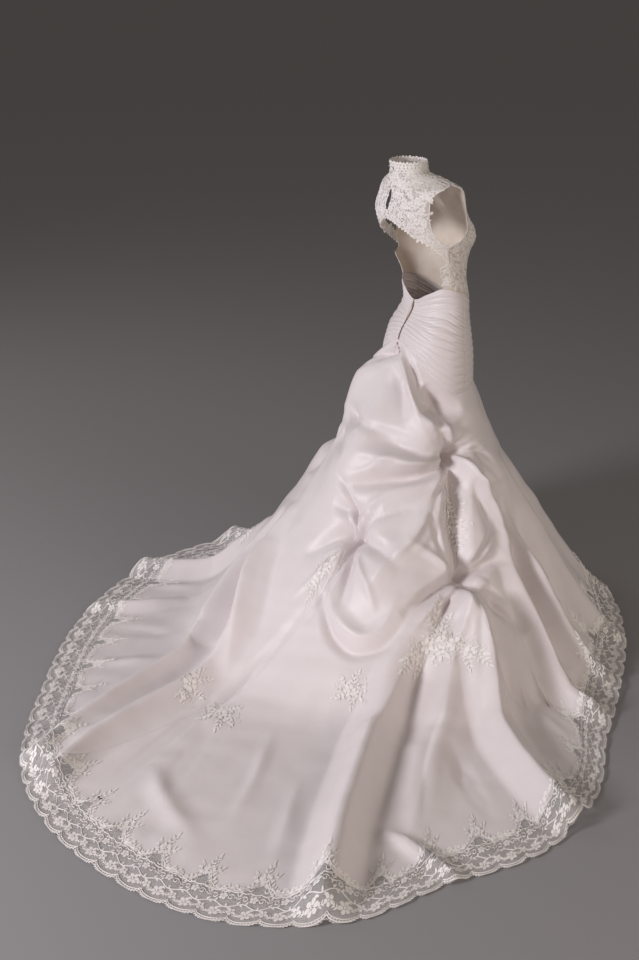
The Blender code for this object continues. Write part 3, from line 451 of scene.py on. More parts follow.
def fold_path(path):
    """A fold's middle line on the form, and how far along it each of its points is."""
    path = np.array(path, float)
    marks = np.arange(len(path))
    fine = np.linspace(0, len(path) - 1, 8 * (len(path) - 1) + 1)
    line = skirt_form(smooth(marks, path[:, 0], fine), smooth(marks, path[:, 1], fine))
    run = run_of(line)
    return line, run / run[-1]


def nearest(points, line, along):
    """Distance from each point to a line, and how far along the line that is."""
    best = np.full(len(points), np.inf)
    share = np.zeros(len(points))
    for a, b, s0, s1 in zip(line[:-1], line[1:], along[:-1], along[1:]):
        edge = b - a
        t = np.clip((points - a) @ edge / (edge @ edge), 0, 1)
        gap = np.linalg.norm(points - a - t[:, None] * edge, axis=1)
        near = gap < best
        best = np.where(near, gap, best)
        share = np.where(near, s0 + t * (s1 - s0), share)
    return best, share


def ridges(points, folds, profile):
    """How far folds lift each point; the profile gives their height across, by distance and reach."""
    lift = np.zeros(len(points))
    for rise, half_width, fade_in, fade_out, path in folds:
        line, along = fold_path(path)
        reach = FOLD_REACH * half_width
        near = np.all((points > line.min(0) - reach) & (points < line.max(0) + reach), axis=1)
        if not near.any():
            continue
        gap, share = nearest(points[near], line, along)
        bell = profile(gap, reach)
        if fade_in:
            bell = bell * np.clip(share / FADE_IN, 0, 1) ** FADE_POWER
        if fade_out:
            bell = bell * np.clip((1 - share) / FADE_OUT, 0, 1) ** FADE_POWER
        lift[near] += rise * bell
    return lift


def rounded(gap, reach):
    """A fold's soft height across."""
    return np.clip(1 - (gap / reach) ** 2, 0, 1) ** 2


def crisp(gap, reach):
    """A crease's height across, sharp but for the width of a cell at its crest."""
    return np.clip(1 - (np.hypot(gap, CREST_ROUND) - CREST_ROUND) / reach, 0, 1) ** 1.6


def relief(form):
    """How far the folds and tacks lift each point of the form."""
    points = form.reshape(-1, 3)
    lift = ridges(points, FOLDS, rounded)
    for bearing, down, depth, radius in TACKS:
        gap = np.linalg.norm(points - skirt_form(bearing, down), axis=1)
        lift -= depth * np.exp(-((gap / radius) ** 2))
    return lift.reshape(form.shape[:-1])


def skirt(bearing, down):
    """The skirt's outer face, with its full places, folds and tacks."""
    bearing, down = np.broadcast_arrays(np.asarray(bearing, float), np.asarray(down, float))
    form = skirt_form(bearing, down)
    lift = relief(form)
    sag = np.zeros(lift.shape)
    for centre, level, spread_b, spread_d, rise, drop in POUFS:
        off = (np.mod(bearing - centre + 180, 360) - 180) / spread_b
        bell = np.exp(-(off**2) - ((down - level) / spread_d) ** 2)
        lift = lift + rise * bell
        sag = sag + drop * bell
    hold = np.clip(down / 0.06, 0, 1)
    point = form + facing(skirt_form, bearing, down) * (lift * hold)[..., None]
    low = point[..., 2] - sag * hold - CLOTH - FLOOR_GAP
    point[..., 2] = CLOTH + FLOOR_GAP + 0.5 * (low + np.sqrt(low * low + 4 * 0.002**2))
    return point


def length_to_hem(bearing):
    """For each bearing, ways down and the cloth left below each of them, hem last."""
    downs = np.linspace(0, 2, 161)
    form = skirt_form(np.asarray(bearing, float)[:, None], downs[None, :])
    steps = np.linalg.norm(np.diff(form, axis=1), axis=2)
    left = np.concatenate((np.cumsum(steps[:, ::-1], axis=1)[:, ::-1], np.zeros((len(form), 1))), axis=1)
    return downs, left


def down_at(bearing, distance):
    """The way down at a distance up from the hem."""
    downs, left = length_to_hem(bearing)
    return np.array([np.interp(d, row[::-1], downs[::-1]) for d, row in zip(distance, left)])


def seam(down, k):
    return smooth(column(SEAMS, 0), column(SEAMS, k), down)


# Panels of the skirt: seams where each starts and ends, and the turns to add to them
PANELS = {"front": (3, 1, -360.0, 0.0), "left": (1, 2, 0.0, 0.0), "right": (2, 3, 0.0, 0.0)}


def panel_bearing(panel, share, down):
    """The bearing a share of the way across a panel, between its two seams."""
    first, last, first_shift, last_shift = PANELS[panel]
    start = seam(down, first) + first_shift
    end = seam(down, last) + last_shift
    return start + share * (end - start)


def hem_of(panel, shares):
    """Bearings at a panel's hem, and the distance along the hem, for shares of the way across."""
    bottom = np.full(len(shares), 2.0)
    ends = panel_bearing(panel, shares, bottom)
    return ends, run_of(skirt_form(ends, bottom))


def panel_shares(panel):
    """Shares across a panel that space its columns evenly along the hem, one for each scallop."""
    fine = np.linspace(0, 1, 400)
    run = hem_of(panel, fine)[1]
    count = round(run[-1] / SCALLOP_PITCH)
    return np.interp(np.linspace(0, run[-1], count + 1), run, fine)


def panel_rows(panel, shares, rows):
    """Ways down of a panel's grid: columns by rows, band to satin edge."""
    ends = hem_of(panel, shares)[0]
    land, hem = (smooth(column(SPREAD, 0), column(SPREAD, k), ends, 360) for k in (1, 2))
    edge = down_at(ends, np.full(len(shares), LACE_WIDTH))
    train = np.maximum(edge - 1, 0) * (hem - land)
    above = CONE_LENGTH / (CONE_LENGTH + TRAIN_WEIGHT * train)
    steps = np.linspace(0, 1, rows + 1)
    downs = np.empty((len(shares), rows + 1))
    for i, (knee, last) in enumerate(zip(above, edge)):
        landing = min(1.0, last)
        downs[i] = np.interp(steps, (0, knee, 1), (0, landing, last)) if knee < 1 else steps * last
    return downs


def to_row_frame(points):
    return np.asarray(points) - np.array((0.0, SHOULDER_BACK, HOLD_HEIGHT))


def unit(vector):
    return vector / np.maximum(np.linalg.norm(vector, axis=-1, keepdims=True), 1e-9)


def crest_of(fold):
    """The sharp crest that the finished cloth adds to a packed fold."""
    rise, width, fade_in, fade_out, path = fold
    share = FOLD_CREST * (1.0 if abs(rise) < BROAD_FOLD else BROAD_CREST)
    return rise * share, width * CREST_WIDTH, fade_in, fade_out, path


def crease_lift(form):
    """How far the sharp crests of the folds, and the small creases, lift each point of the form."""
    crests = [crest_of(fold) for fold in FOLDS] + list(CREASES)
    return CREASE_GAIN * ridges(form.reshape(-1, 3), crests, crisp).reshape(form.shape[:-1])


def gathers(form):
    """Uneven puckers round each tack, longest near it and gone a hand's breadth away."""
    lift = np.zeros(form.shape[:-1])
    for bearing, down, height, reach, first in GATHERS:
        across = unit(skirt_form(bearing + 1.0, down) - skirt_form(bearing - 1.0, down))
        along = unit(skirt_form(bearing, down + 0.01) - skirt_form(bearing, down - 0.01))
        off = form - skirt_form(bearing, down)
        angle = np.arctan2(off @ along, off @ across) + first
        far = np.linalg.norm(off, axis=-1) / reach
        wave = np.sin(7 * angle + 0.9 * np.sin(2 * angle))
        wave = wave + 0.6 * np.sin(12 * angle + 1.4 * np.sin(3 * angle))
        lift += height * wave * far * np.exp(1 - far)
    for bearing, down, depth, _ in TACKS:
        far = np.linalg.norm(form - skirt_form(bearing, down), axis=-1) / FILL_SPREAD
        lift += TACK_FILL * depth * np.exp(-far * far)
    return lift


def ripple(point):
    """Soft unevenness of cloth that has been handled: a few long waves that cross."""
    x, y, z = point[..., 0], point[..., 1], point[..., 2]
    return (
        np.sin(61 * x + 17 * y + 23 * z + 2.0 * np.sin(19 * y))
        + 0.8 * np.sin(-29 * x + 53 * y + 31 * z + 1.7 * np.sin(23 * x))
        + 0.6 * np.sin(83 * z + 37 * x - 41 * y + 1.3 * np.sin(29 * z))
    ) / 2.4


def dressed(bearing, down):
    """The finished skirt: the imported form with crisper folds, small creases and soft unevenness."""
    base = skirt(bearing, down)
    form = skirt_form(bearing, down)
    down = np.broadcast_to(down, base.shape[:-1])
    hold = np.clip(down / TOP_HOLD, 0, 1)
    near_hem = np.exp(-(((down - RIPPLE_DOWN) / RIPPLE_SPREAD) ** 2))
    lift = crease_lift(form) + gathers(form) + (RIPPLE_HEIGHT + RIPPLE_AT_HEM * near_hem) * ripple(form)
    point = base + facing(skirt_form, bearing, down) * (lift * hold)[..., None]
    point[..., 2] = np.maximum(point[..., 2], CLOTH + FLOOR_GAP * 0.5)
    return point


def fine_shares(panel, columns):
    """Shares across a panel for a fine grid, spaced as its packed columns are."""
    coarse = panel_shares(panel)
    return np.interp(np.linspace(0, len(coarse) - 1, columns + 1), np.arange(len(coarse)), coarse)


def noise_on(tree, place, scale):
    """Noise over a place's coordinates."""
    noise = tree.nodes.new("ShaderNodeTexNoise")
    noise.inputs["Scale"].default_value = scale
    noise.inputs["Detail"].default_value = 3.0
    noise.inputs["Roughness"].default_value = 0.5
    tree.links.new(place, noise.inputs["Vector"])
    return noise.outputs["Fac"]


def math_on(tree, operation, first, second):
    """A math node on two values, each a number or the output of a node."""
    node = tree.nodes.new("ShaderNodeMath")
    node.operation = operation
    for slot, value in zip(node.inputs, (first, second)):
        if isinstance(value, float):
            slot.default_value = value
        else:
            tree.links.new(value, slot)
    return node.outputs["Value"]


def new_material(name):
    """A material, its node tree and its shader."""
    material = bpy.data.materials.new(name)
    material.use_nodes = True
    return material, material.node_tree, material.node_tree.nodes["Principled BSDF"]


def ramp_between(nodes, low, high):
    """A colour ramp from one colour to another."""
    ramp = nodes.new("ShaderNodeValToRGB")
    ramp.color_ramp.elements[0].color = (*low, 1)
    ramp.color_ramp.elements[1].color = (*high, 1)
    ramp.color_ramp.elements[0].position = 0.3
    ramp.color_ramp.elements[1].position = 0.7
    return ramp


def cloth_material(name, low, high, roughness, sheen, mottle, bumps, coat=0.0):
    """A cloth finish: mottled colour, uneven gloss and layers of bump, each a scale, strength and depth."""
    material, tree, shader = new_material(name)
    place = tree.nodes.new("ShaderNodeTexCoord").outputs["Object"]
    mottling = noise_on(tree, place, mottle)
    ramp = ramp_between(tree.nodes, low, high)
    tree.links.new(mottling, ramp.inputs["Fac"])
    tree.links.new(ramp.outputs["Color"], shader.inputs["Base Color"])
    gloss = tree.nodes.new("ShaderNodeMapRange")
    gloss.inputs["To Min"].default_value = roughness * 0.88
    gloss.inputs["To Max"].default_value = roughness * 1.12
    tree.links.new(mottling, gloss.inputs["Value"])
    tree.links.new(gloss.outputs["Result"], shader.inputs["Roughness"])
    shader.inputs["Sheen Weight"].default_value = sheen
    shader.inputs["Sheen Roughness"].default_value = 0.4
    shader.inputs["Coat Weight"].default_value = coat
    shader.inputs["Coat Roughness"].default_value = 0.45
    before = None
    for scale, strength, depth in bumps:
        bump = tree.nodes.new("ShaderNodeBump")
        bump.inputs["Strength"].default_value = strength
        bump.inputs["Distance"].default_value = depth
        tree.links.new(noise_on(tree, place, scale), bump.inputs["Height"])
        if before:
            tree.links.new(before.outputs["Normal"], bump.inputs["Normal"])
        before = bump
    tree.links.new(before.outputs["Normal"], shader.inputs["Normal"])
    return material


def net_material(name, colour, cell, thread):
    """Fine net: diamond cells of thread with open gaps, from the piece's own UV in metres."""
    material, tree, shader = new_material(name)
    shader.inputs["Base Color"].default_value = (*colour, 1)
    shader.inputs["Roughness"].default_value = 0.75
    split = tree.nodes.new("ShaderNodeSeparateXYZ")
    tree.links.new(tree.nodes.new("ShaderNodeTexCoord").outputs["UV"], split.inputs["Vector"])
    threads = []
    for sign in ("ADD", "SUBTRACT"):
        across = math_on(tree, sign, split.outputs["X"], split.outputs["Y"])
        wave = math_on(tree, "PINGPONG", across, cell / 2)
        threads.append(math_on(tree, "LESS_THAN", wave, thread / 2))
    tree.links.new(math_on(tree, "MAXIMUM", *threads), shader.inputs["Alpha"])
    return material


def plain_material(name, colour, roughness, metallic=0.0, grain=900.0, coat=0.0):
    """A hard finish with a little unevenness in its colour and surface."""
    low = tuple(0.9 * c for c in colour)
    material = cloth_material(name, low, colour, roughness, 0.0, 60.0, ((grain, 0.15, 0.0002),), coat)
    material.node_tree.nodes["Principled BSDF"].inputs["Metallic"].default_value = metallic
    return material


def finished(name, mesh, material):
    """A finished mesh as a piece of the dress."""
    mesh.materials.append(material)
    piece = bpy.data.objects.new(name, mesh)
    bpy.context.scene.collection.objects.link(piece)
    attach(piece, "root")
    return piece


def mesh_of(name, shape):
    mesh = bpy.data.meshes.new(name)
    shape.to_mesh(mesh)
    shape.free()
    return mesh


def read_points(mesh):
    points = np.empty(len(mesh.vertices) * 3)
    mesh.vertices.foreach_get("co", points)
    return points.reshape(-1, 3)


def write_points(mesh, points):
    mesh.vertices.foreach_set("co", np.asarray(points, float).ravel())
    mesh.update()


def cloth_grid(name, points, size, material, thick, flip):
    """A sheet of cloth from its grid of points, with its UV in metres of the cut cloth."""
    columns, rows = points.shape[:2]
    shape = bmesh.new()
    shape.loops.layers.uv.new("UVMap")
    bmesh.ops.create_grid(shape, x_segments=columns - 1, y_segments=rows - 1, size=1, calc_uvs=True)
    if flip:
        bmesh.ops.reverse_faces(shape, faces=shape.faces[:])
    mesh = mesh_of(name, shape)
    flat = read_points(mesh)
    i = np.rint((flat[:, 0] + 1) / 2 * (columns - 1)).astype(int)
    j = np.rint((flat[:, 1] + 1) / 2 * (rows - 1)).astype(int)
    write_points(mesh, points[i, j])
    uv = np.empty(len(mesh.loops) * 2)
    mesh.uv_layers[0].data.foreach_get("uv", uv)
    mesh.uv_layers[0].data.foreach_set("uv", (uv.reshape(-1, 2) * size).ravel())
    mesh.shade_smooth()
    piece = finished(name, mesh, material)
    if thick:
        wall = piece.modifiers.new("Cloth", "SOLIDIFY")
        wall.thickness = thick
        wall.offset = -1
    return piece


def oval(shape, x, y, length, width, turn=0.0, taper=0.0, segments=10, height=0.0018):
    """A raised oval with a corded rim: a leaf, petal or dot of the lace, lying in the flat."""
    made = bmesh.ops.create_circle(shape, cap_ends=True, segments=segments, radius=1.0)
    for vertex in made["verts"]:
        vertex.co.y *= 1 - taper * vertex.co.x
    bmesh.ops.scale(shape, vec=(length / 2, width / 2, 1), verts=made["verts"])
    place = Matrix.Translation((x, y, 0)) @ Matrix.Rotation(turn, 4, "Z")
    bmesh.ops.transform(shape, matrix=place, verts=made["verts"])
    face = made["verts"][0].link_faces[0]
    rim = 0.16 * min(length, width)
    bmesh.ops.inset_region(shape, faces=[face], thickness=rim, depth=height)
    bmesh.ops.inset_region(shape, faces=[face], thickness=rim, depth=-0.6 * height)


def cord(shape, path, width=0.0025, height=0.0018):
    """A raised cord along a path in the flat, closed if the path ends where it starts."""
    path = np.array(path, float)
    heading = np.gradient(path, axis=0)
    if np.allclose(path[0], path[-1]):
        heading[0] = heading[-1] = path[1] - path[-2]
    heading = heading / np.maximum(np.linalg.norm(heading, axis=1, keepdims=True), 1e-9)
    side = np.stack((-heading[:, 1], heading[:, 0]), -1) * width / 2
    made = bmesh.ops.create_grid(shape, x_segments=len(path) - 1, y_segments=2, size=1)
    for vertex in made["verts"]:
        i = round((vertex.co.x + 1) / 2 * (len(path) - 1))
        across = vertex.co.y
        vertex.co = (*(path[i] + side[i] * across), height * (1 - abs(across)))


def scroll(shape, x, y, radius, turn=0.0, hand=1, width=0.0024, turns=1.25, steps=15):
    """A curl of cord, from its outside in."""
    share = np.linspace(0, 1, steps)
    angle = turn + hand * 2 * math.pi * turns * share
    reach = radius * (1 - 0.78 * share)
    cord(shape, np.stack((x + reach * np.cos(angle), y + reach * np.sin(angle)), -1), width)


def flower(shape, x, y, radius, petals=6, turn=0.0, segments=10):
    for k in range(petals):
        angle = turn + 2 * math.pi * k / petals
        at = x + 0.60 * radius * math.cos(angle), y + 0.60 * radius * math.sin(angle)
        oval(shape, *at, 0.78 * radius, 3.6 * radius / petals, angle, -0.25, segments)
    oval(shape, x, y, 0.40 * radius, 0.40 * radius, 0, 0, 8, 0.0022)


def spray(shape, x, y, length, turn, pairs=3, leaf=0.013):
    """A stem with leaves in pairs and one at its tip."""
    way = np.array((math.cos(turn), math.sin(turn)))
    side = np.array((-way[1], way[0]))
    start = np.array((x, y))
    bow = 0.12 * length
    steps = np.linspace(0, 1, 7)[:, None]
    cord(shape, start + way * length * steps + side * bow * np.sin(math.pi * steps), 0.0020)
    for k in range(pairs):
        share = (k + 0.6) / (pairs + 0.2)
        at = start + way * length * share + side * bow * math.sin(math.pi * share)
        size = leaf * (1 - 0.25 * share)
        for hand in (-1, 1):
            angle = turn + hand * 0.85
            tip = at + 0.55 * size * np.array((math.cos(angle), math.sin(angle)))
            oval(shape, *tip, size, 0.42 * size, angle, 0.35, 8)
    tip = start + way * (length + 0.4 * leaf)
    oval(shape, *tip, leaf, 0.42 * leaf, turn, 0.35, 8)


def scallop_edge(share):
    """How far the edge of the border stands back from the hem, across one scallop."""
    return SCALLOP_DEPTH * (1 - np.sin(math.pi * np.clip(share, 0, 1)) ** 0.6)


def border_tile():
    """One scallop of the border in the flat: x along the hem, y up from it."""
    shape = bmesh.new()
    p = SCALLOP_PITCH
    share = np.linspace(0, 1, 15)
    edge = scallop_edge(share)
    cord(shape, np.stack((share * p, edge + 0.0022), -1), 0.0032, 0.0018)
    cord(shape, np.stack((share * p, edge * 0.95 + 0.0090), -1), 0.0022)
    for k in range(11):
        s = (k + 0.5) / 11
        oval(shape, s * p, float(scallop_edge(s)) + 0.0055, 0.0034, 0.0034, 0, 0, 6)
        x, y = s * p, float(scallop_edge(s))
        around = np.linspace(0, math.pi, 5)
        cord(shape, np.stack((x + 0.0026 * np.cos(around), y - 0.0026 * np.sin(around)), -1), 0.0016)
    flower(shape, 0.5 * p, 0.036, 0.0175, 6, 0.3)
    flower(shape, 0.0, 0.043, 0.0125, 5, 0.9)
    spray(shape, 0.33 * p, 0.030, 0.016, 2.7, 2, 0.010)
    spray(shape, 0.67 * p, 0.030, 0.016, 0.45, 2, 0.010)
    wave = np.linspace(0, 1, 13)
    cord(shape, np.stack((wave * p, 0.064 + 0.008 * np.sin(2 * math.pi * wave)), -1), 0.0026)
    for k, (s, up) in enumerate(((0.10, 1), (0.22, -1), (0.36, 1), (0.62, -1), (0.76, 1), (0.90, -1))):
        y = 0.064 + 0.008 * math.sin(2 * math.pi * s) + up * 0.006
        oval(shape, s * p, y, 0.012, 0.0055, up * 0.9 + 0.2 * k, 0.35, 8)
    scroll(shape, 0.24 * p, 0.088, 0.0105, 3.6, -1)
    scroll(shape, 0.78 * p, 0.088, 0.0105, -0.5, 1)
    flower(shape, 0.52 * p, 0.089, 0.0120, 5, 0.2)
    spray(shape, 0.02 * p, 0.078, 0.020, 1.45, 2, 0.011)
    for s in (0.08, 0.40, 0.64, 0.93):
        oval(shape, s * p, 0.102, 0.0065, 0.0045, 0.6 * s, 0, 6)
    cord(shape, np.stack((wave * p, 0.1075 + 0.0022 * np.cos(6 * math.pi * wave)), -1), 0.0028, 0.0018)
    return mesh_of("border tile", shape)


def peak_tile():
    """A pointed spray of lace that climbs from the border onto the satin, with its garlands."""
    shape = bmesh.new()
    spray(shape, 0.0, 0.142, 0.036, 1.57, 3, 0.015)
    spray(shape, -0.008, 0.136, 0.026, 2.35, 2, 0.013)
    spray(shape, 0.008, 0.136, 0.026, 0.80, 2, 0.013)
    flower(shape, 0.0, 0.146, 0.0135, 6, 0.4)
    for side in (-1, 1):
        share = np.linspace(0, 1, 11)
        x = side * (0.004 + 0.036 * share)
        y = 0.148 - 0.036 * share**0.8 + 0.002 * np.sin(9 * share)
        cord(shape, np.stack((x, y), -1), 0.0030, 0.0018)
        for k in range(5):
            s = (k + 0.5) / 5
            at = (side * (0.004 + 0.036 * s), 0.148 - 0.036 * s**0.8)
            oval(shape, at[0] + side * 0.003, at[1] + 0.004, 0.0105, 0.0055, 1.57 - side * 0.5, 0.3, 8)
            oval(shape, at[0] - side * 0.002, at[1] - 0.005, 0.0085, 0.0045, 1.57 + side * 0.9, 0.3, 8)
        share = np.linspace(0, 1, 9)
        y = 0.1135 + 0.004 * np.sin(math.pi * share)
        cord(shape, np.stack((side * (0.040 + 0.042 * share), y), -1), 0.0030)
        for k in range(4):
            at = side * (0.040 + 0.042 * (k + 0.5) / 4), 0.1185 + 0.003 * (k % 2)
            oval(shape, *at, 0.0110, 0.0058, 1.57 - side * 0.7, 0.3, 8)
        scroll(shape, side * 0.020, 0.118, 0.0080, 1.5, side)
        flower(shape, side * 0.060, 0.1175, 0.0085, 5, 0.3, 8)
    return mesh_of("peak tile", shape)


def laid_out(tiles):
    """Flat tiles in one mesh: each tile is a mesh, a place, a turn and perhaps a stretch both ways."""
    shape = bmesh.new()
    for mesh, x, y, turn, *stretch in tiles:
        before = len(shape.verts)
        shape.from_mesh(mesh)
        shape.verts.ensure_lookup_table()
        place = Matrix.Translation((x, y, 0)) @ Matrix.Diagonal((*(stretch or (1, 1)), 1, 1))
        place = place @ Matrix.Rotation(turn, 4, "Z")
        bmesh.ops.transform(shape, matrix=place, verts=shape.verts[before:])
    return shape


def border_table(panel):
    """Points and facings of the border, by run along the hem and distance from it."""
    shares = fine_shares(panel, BORDER_COLUMNS)
    ends, run = hem_of(panel, shares)
    distances = np.linspace(0, BORDER_REACH, BORDER_STEPS)
    points = np.empty((len(shares), len(distances), 3))
    faces = np.empty_like(points)
    for k, distance in enumerate(distances):
        down = down_at(ends, np.full(len(shares), distance))
        bearing = panel_bearing(panel, shares, down)
        points[:, k] = dressed(bearing, down)
        faces[:, k] = facing(skirt, bearing, down)
    return run, distances, points, faces


def on_table(table, x, y, lift):
    """Points of the flat carried onto a table's surface."""
    run, distances, points, faces = table
    a = np.clip(np.interp(x, run, np.arange(len(run))), 0, len(run) - 1.001)
    b = np.clip(np.interp(y, distances, np.arange(len(distances))), 0, len(distances) - 1.001)
    i, j = a.astype(int), b.astype(int)
    s, t = (a - i)[:, None], (b - j)[:, None]

    def blend(grid):
        low = grid[i, j] * (1 - s) + grid[i + 1, j] * s
        high = grid[i, j + 1] * (1 - s) + grid[i + 1, j + 1] * s
        return low * (1 - t) + high * t

    return blend(points) + unit(blend(faces)) * lift[:, None]


def bent(name, shape, place, material):
    """A flat layout carried onto the dress: place turns flat points into points of the dress."""
    mesh = mesh_of(name, shape)
    write_points(mesh, to_row_frame(place(read_points(mesh))))
    mesh.shade_smooth()
    return finished(name, mesh, material)


def beads(shape, places, radius, lift):
    """Small beads at points of the flat."""
    for x, y in places:
        place = Matrix.Translation((x, y, lift))
        bmesh.ops.create_icosphere(shape, subdivisions=1, radius=radius, matrix=place)


def notched(run, pitch):
    """How far the satin's edge is cut back under each peak of the border."""
    off = np.abs(np.mod(run / pitch + 0.98, 2.0) - 1.5) * pitch
    return NOTCH_DEPTH * np.clip(1 - off / NOTCH_HALF, 0, 1)


def tucked(points):
    """A panel's points with its top carried up under the band and its sides under their neighbours."""
    inward = unit(points[:, :1] * (-1, -1, 0))
    top = points[:, :1] + inward * TUCK_IN + (0, 0, TUCK_UP)
    points = np.concatenate((top, points), axis=1)
    sides = []
    for edge, inside in ((0, 1), (-1, -2)):
        beyond = unit(points[edge] - points[inside])
        down = unit(np.gradient(points[edge], axis=0))
        under = np.cross(beyond, down) * (1 if edge else -1)
        sides.append(points[edge] + beyond * TUCK_ACROSS + under * TUCK_IN)
    return np.concatenate((sides[0][None], points, sides[1][None]), axis=0)


def satin_panel(panel, node, material):
    rows, columns = FINE_ROWS, FINE_COLUMNS[panel]
    shares = fine_shares(panel, columns)
    downs = panel_rows(panel, shares, rows)
    ends, run = hem_of(panel, shares)
    pitch = run[-1] / (len(panel_shares(panel)) - 1)
    notch = down_at(ends, np.full(len(shares), LACE_WIDTH)) - down_at(ends, LACE_WIDTH + notched(run, pitch))
    near_edge = np.clip((np.linspace(0, 1, rows + 1) - NOTCH_FROM) / (1 - NOTCH_FROM), 0, 1)
    downs = downs - notch[:, None] * near_edge
    bearings = panel_bearing(panel, shares[:, None], downs)
    points = tucked(to_row_frame(dressed(bearings, downs)))
    columns, rows = points.shape[0] - 1, points.shape[1] - 1
    width = float(run_of(points[:, rows // 2])[-1])
    length = float(run_of(points[columns // 2])[-1])
    piece = cloth_grid(node + "_cloth", points, (width, length), material, SATIN_THICK, True)
    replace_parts(piece, node)
    return piece


def border(panel, node, net, thread, pearl, tile, peak):
    """The lace border of one panel: net, corded lace, peaks on the satin, and beads."""
    table = border_table(panel)
    run = table[0]
    count = len(panel_shares(panel)) - 1
    pitch = run[-1] / count
    along = np.linspace(0, run[-1], count * 12 + 1)
    edge = scallop_edge(np.mod(along / pitch, 1.0))
    share = np.linspace(0, 1, 9)
    inner = LACE_WIDTH + 0.004 + notched(along, pitch)
    y = edge[:, None] + (inner - edge)[:, None] * share[None, :]
    x = np.broadcast_to(along[:, None], y.shape)
    points = on_table(table, x.ravel(), y.ravel(), np.full(x.size, NET_LIFT)).reshape(*x.shape, 3)
    ground = cloth_grid(node + "_net", to_row_frame(points), (run[-1], LACE_WIDTH), net, 0.0, False)
    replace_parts(ground, node)
    stretch = pitch / SCALLOP_PITCH
    shape = laid_out([(tile, k * SCALLOP_PITCH, 0, 0) for k in range(count)])

    def place(flat):
        return on_table(table, flat[:, 0] * stretch, flat[:, 1], NET_LIFT * 2 + flat[:, 2])

    cords = bent(node + "_cords", shape, place, thread)
    sites = range(0, count, 2)
    tops = laid_out([
        (peak, (k + 0.52) * SCALLOP_PITCH, PEAK_DROP + 0.006 * math.sin(2.1 * k), 0, PEAK_WIDE, PEAK_TALL)
        for k in sites
    ])
    peaks = bent(node + "_peaks", tops, place, thread)
    dots = bmesh.new()
    spots = [((k + 0.5) * SCALLOP_PITCH, 0.036) for k in range(count)]
    spots += [(k * SCALLOP_PITCH, 0.043) for k in range(1, count)]
    spots += [
        ((k + 0.52) * SCALLOP_PITCH + PEAK_WIDE * x, PEAK_DROP + PEAK_TALL * y)
        for k in sites
        for x, y in PEAK_BEADS
    ]
    beads(dots, spots, 0.0017, 0.0028)
    pearls = bent(node + "_beads", dots, place, pearl)
    return ground, [cords, peaks, pearls]


def shell_points(bearing, height, raise_by=0.0):
    """Points of the bodice in the row's frame, standing out from the figure's form."""
    step_b, step_h = 0.5, 0.004
    across = torso(bearing + step_b, height) - torso(bearing - step_b, height)
    up = torso(bearing, height + step_h) - torso(bearing, height - step_h)
    face = unit(np.cross(across, up))
    return to_row_frame(torso(bearing, height) + face * np.asarray(raise_by)[..., None])


def arc_columns(columns, rows):
    return np.meshgrid(np.linspace(0, 1, columns + 1), np.linspace(0, 1, rows + 1), indexing="ij")


def pleated(share, up, pleats):
    """Height of the ruched band's pleats: rounded ridges with sharp valleys, uneven in depth and spacing."""
    phase = pleats * up + 0.14 * np.sin(3 * share) + 0.10 * np.sin(9 * up + 5 * share)
    ridge = np.abs(np.sin(math.pi * phase)) ** 0.7
    small = np.abs(np.sin(math.pi * (2.3 * phase + 0.8 * np.sin(4 * share) + 0.3))) ** 0.8
    depth = 0.75 + 0.25 * np.sin(7.0 * up + 3.1 * share)
    hold = np.clip(np.minimum(up, 1 - up) / 0.05, 0, 1) * np.clip(share / 0.05, 0, 1)
    return PLEAT_HEIGHT * hold * (0.78 * ridge * depth + 0.28 * small)


def band_cloth(node, start, end, columns, material):
    """One piece of the ruched hip band, between two bearings, its side seams tucked."""
    s, t = arc_columns(columns, BAND_ROWS)
    bearing = start + (end - start) * s
    seam_ends = [turn for turn in (start, end) if abs(turn - 180) > 2]
    tuck = np.maximum.reduce([np.clip(1 - np.abs(bearing - turn) / 0.8, 0, 1) for turn in seam_ends])
    bearing = bearing + SEAM_OVER * tuck * np.where(s > 0.5, 1, -1)
    low, high = band_low(bearing), band_top(bearing)
    height = low + (high - low) * t
    lift = pleated(np.abs(180 - bearing) / 60, t, BAND_PLEATS)
    points = shell_points(bearing, height, lift - SEAM_SINK * tuck**2)
    length = float(run_of(points[:, BAND_ROWS // 2])[-1])
    width = float(run_of(points[columns // 2])[-1])
    piece = cloth_grid(node + "_cloth", points, (length, width), material, SATIN_THICK, False)
    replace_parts(piece, node)
    return piece


def bodice_edge(height):
    return smooth(column(SIDE_EDGE, 0), column(SIDE_EDGE, 1), height)


def yoke_low(share):
    return YOKE_LOW_CENTRE + (YOKE_LOW_SIDE - YOKE_LOW_CENTRE) * share**1.4


def yoke_span(height):
    """Bearings from the back of a yoke half's inner and outer edges."""
    middle = (KEYHOLE_LOW + KEYHOLE_HIGH) / 2
    half = (KEYHOLE_HIGH - KEYHOLE_LOW) / 2
    gape = KEYHOLE_TURN * np.sqrt(np.clip(1 - ((height - middle) / half) ** 2, 0, 1))
    return YOKE_START + gape, smooth(column(YOKE_EDGE, 0), column(YOKE_EDGE, 1), height)


def yoke_ground(node, side, net):
    s, t = arc_columns(60, 60)
    height = yoke_low(s) + (NECK_TOP - yoke_low(s)) * t
    start, end = yoke_span(height)
    bearing = 180 - side * (start + (end - start) * s)
    points = shell_points(bearing, height)
    piece = cloth_grid(node + "_net", points, (0.21, 0.17), net, 0.0, side > 0)
    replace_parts(piece, node)
    return piece


def bodice_ground(lining):
    s, t = arc_columns(150, 90)
    low = band_top(2 * BODICE_TURN * (s - 0.5))
    height = low + (NECK_TOP - low) * t
    bearing = (2 * s - 1) * bodice_edge(height)
    points = shell_points(bearing, height)
    piece = cloth_grid("bodice_front_cloth", points, (0.52, 0.34), lining, SATIN_THICK, False)
    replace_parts(piece, "bodice_front")
    return piece


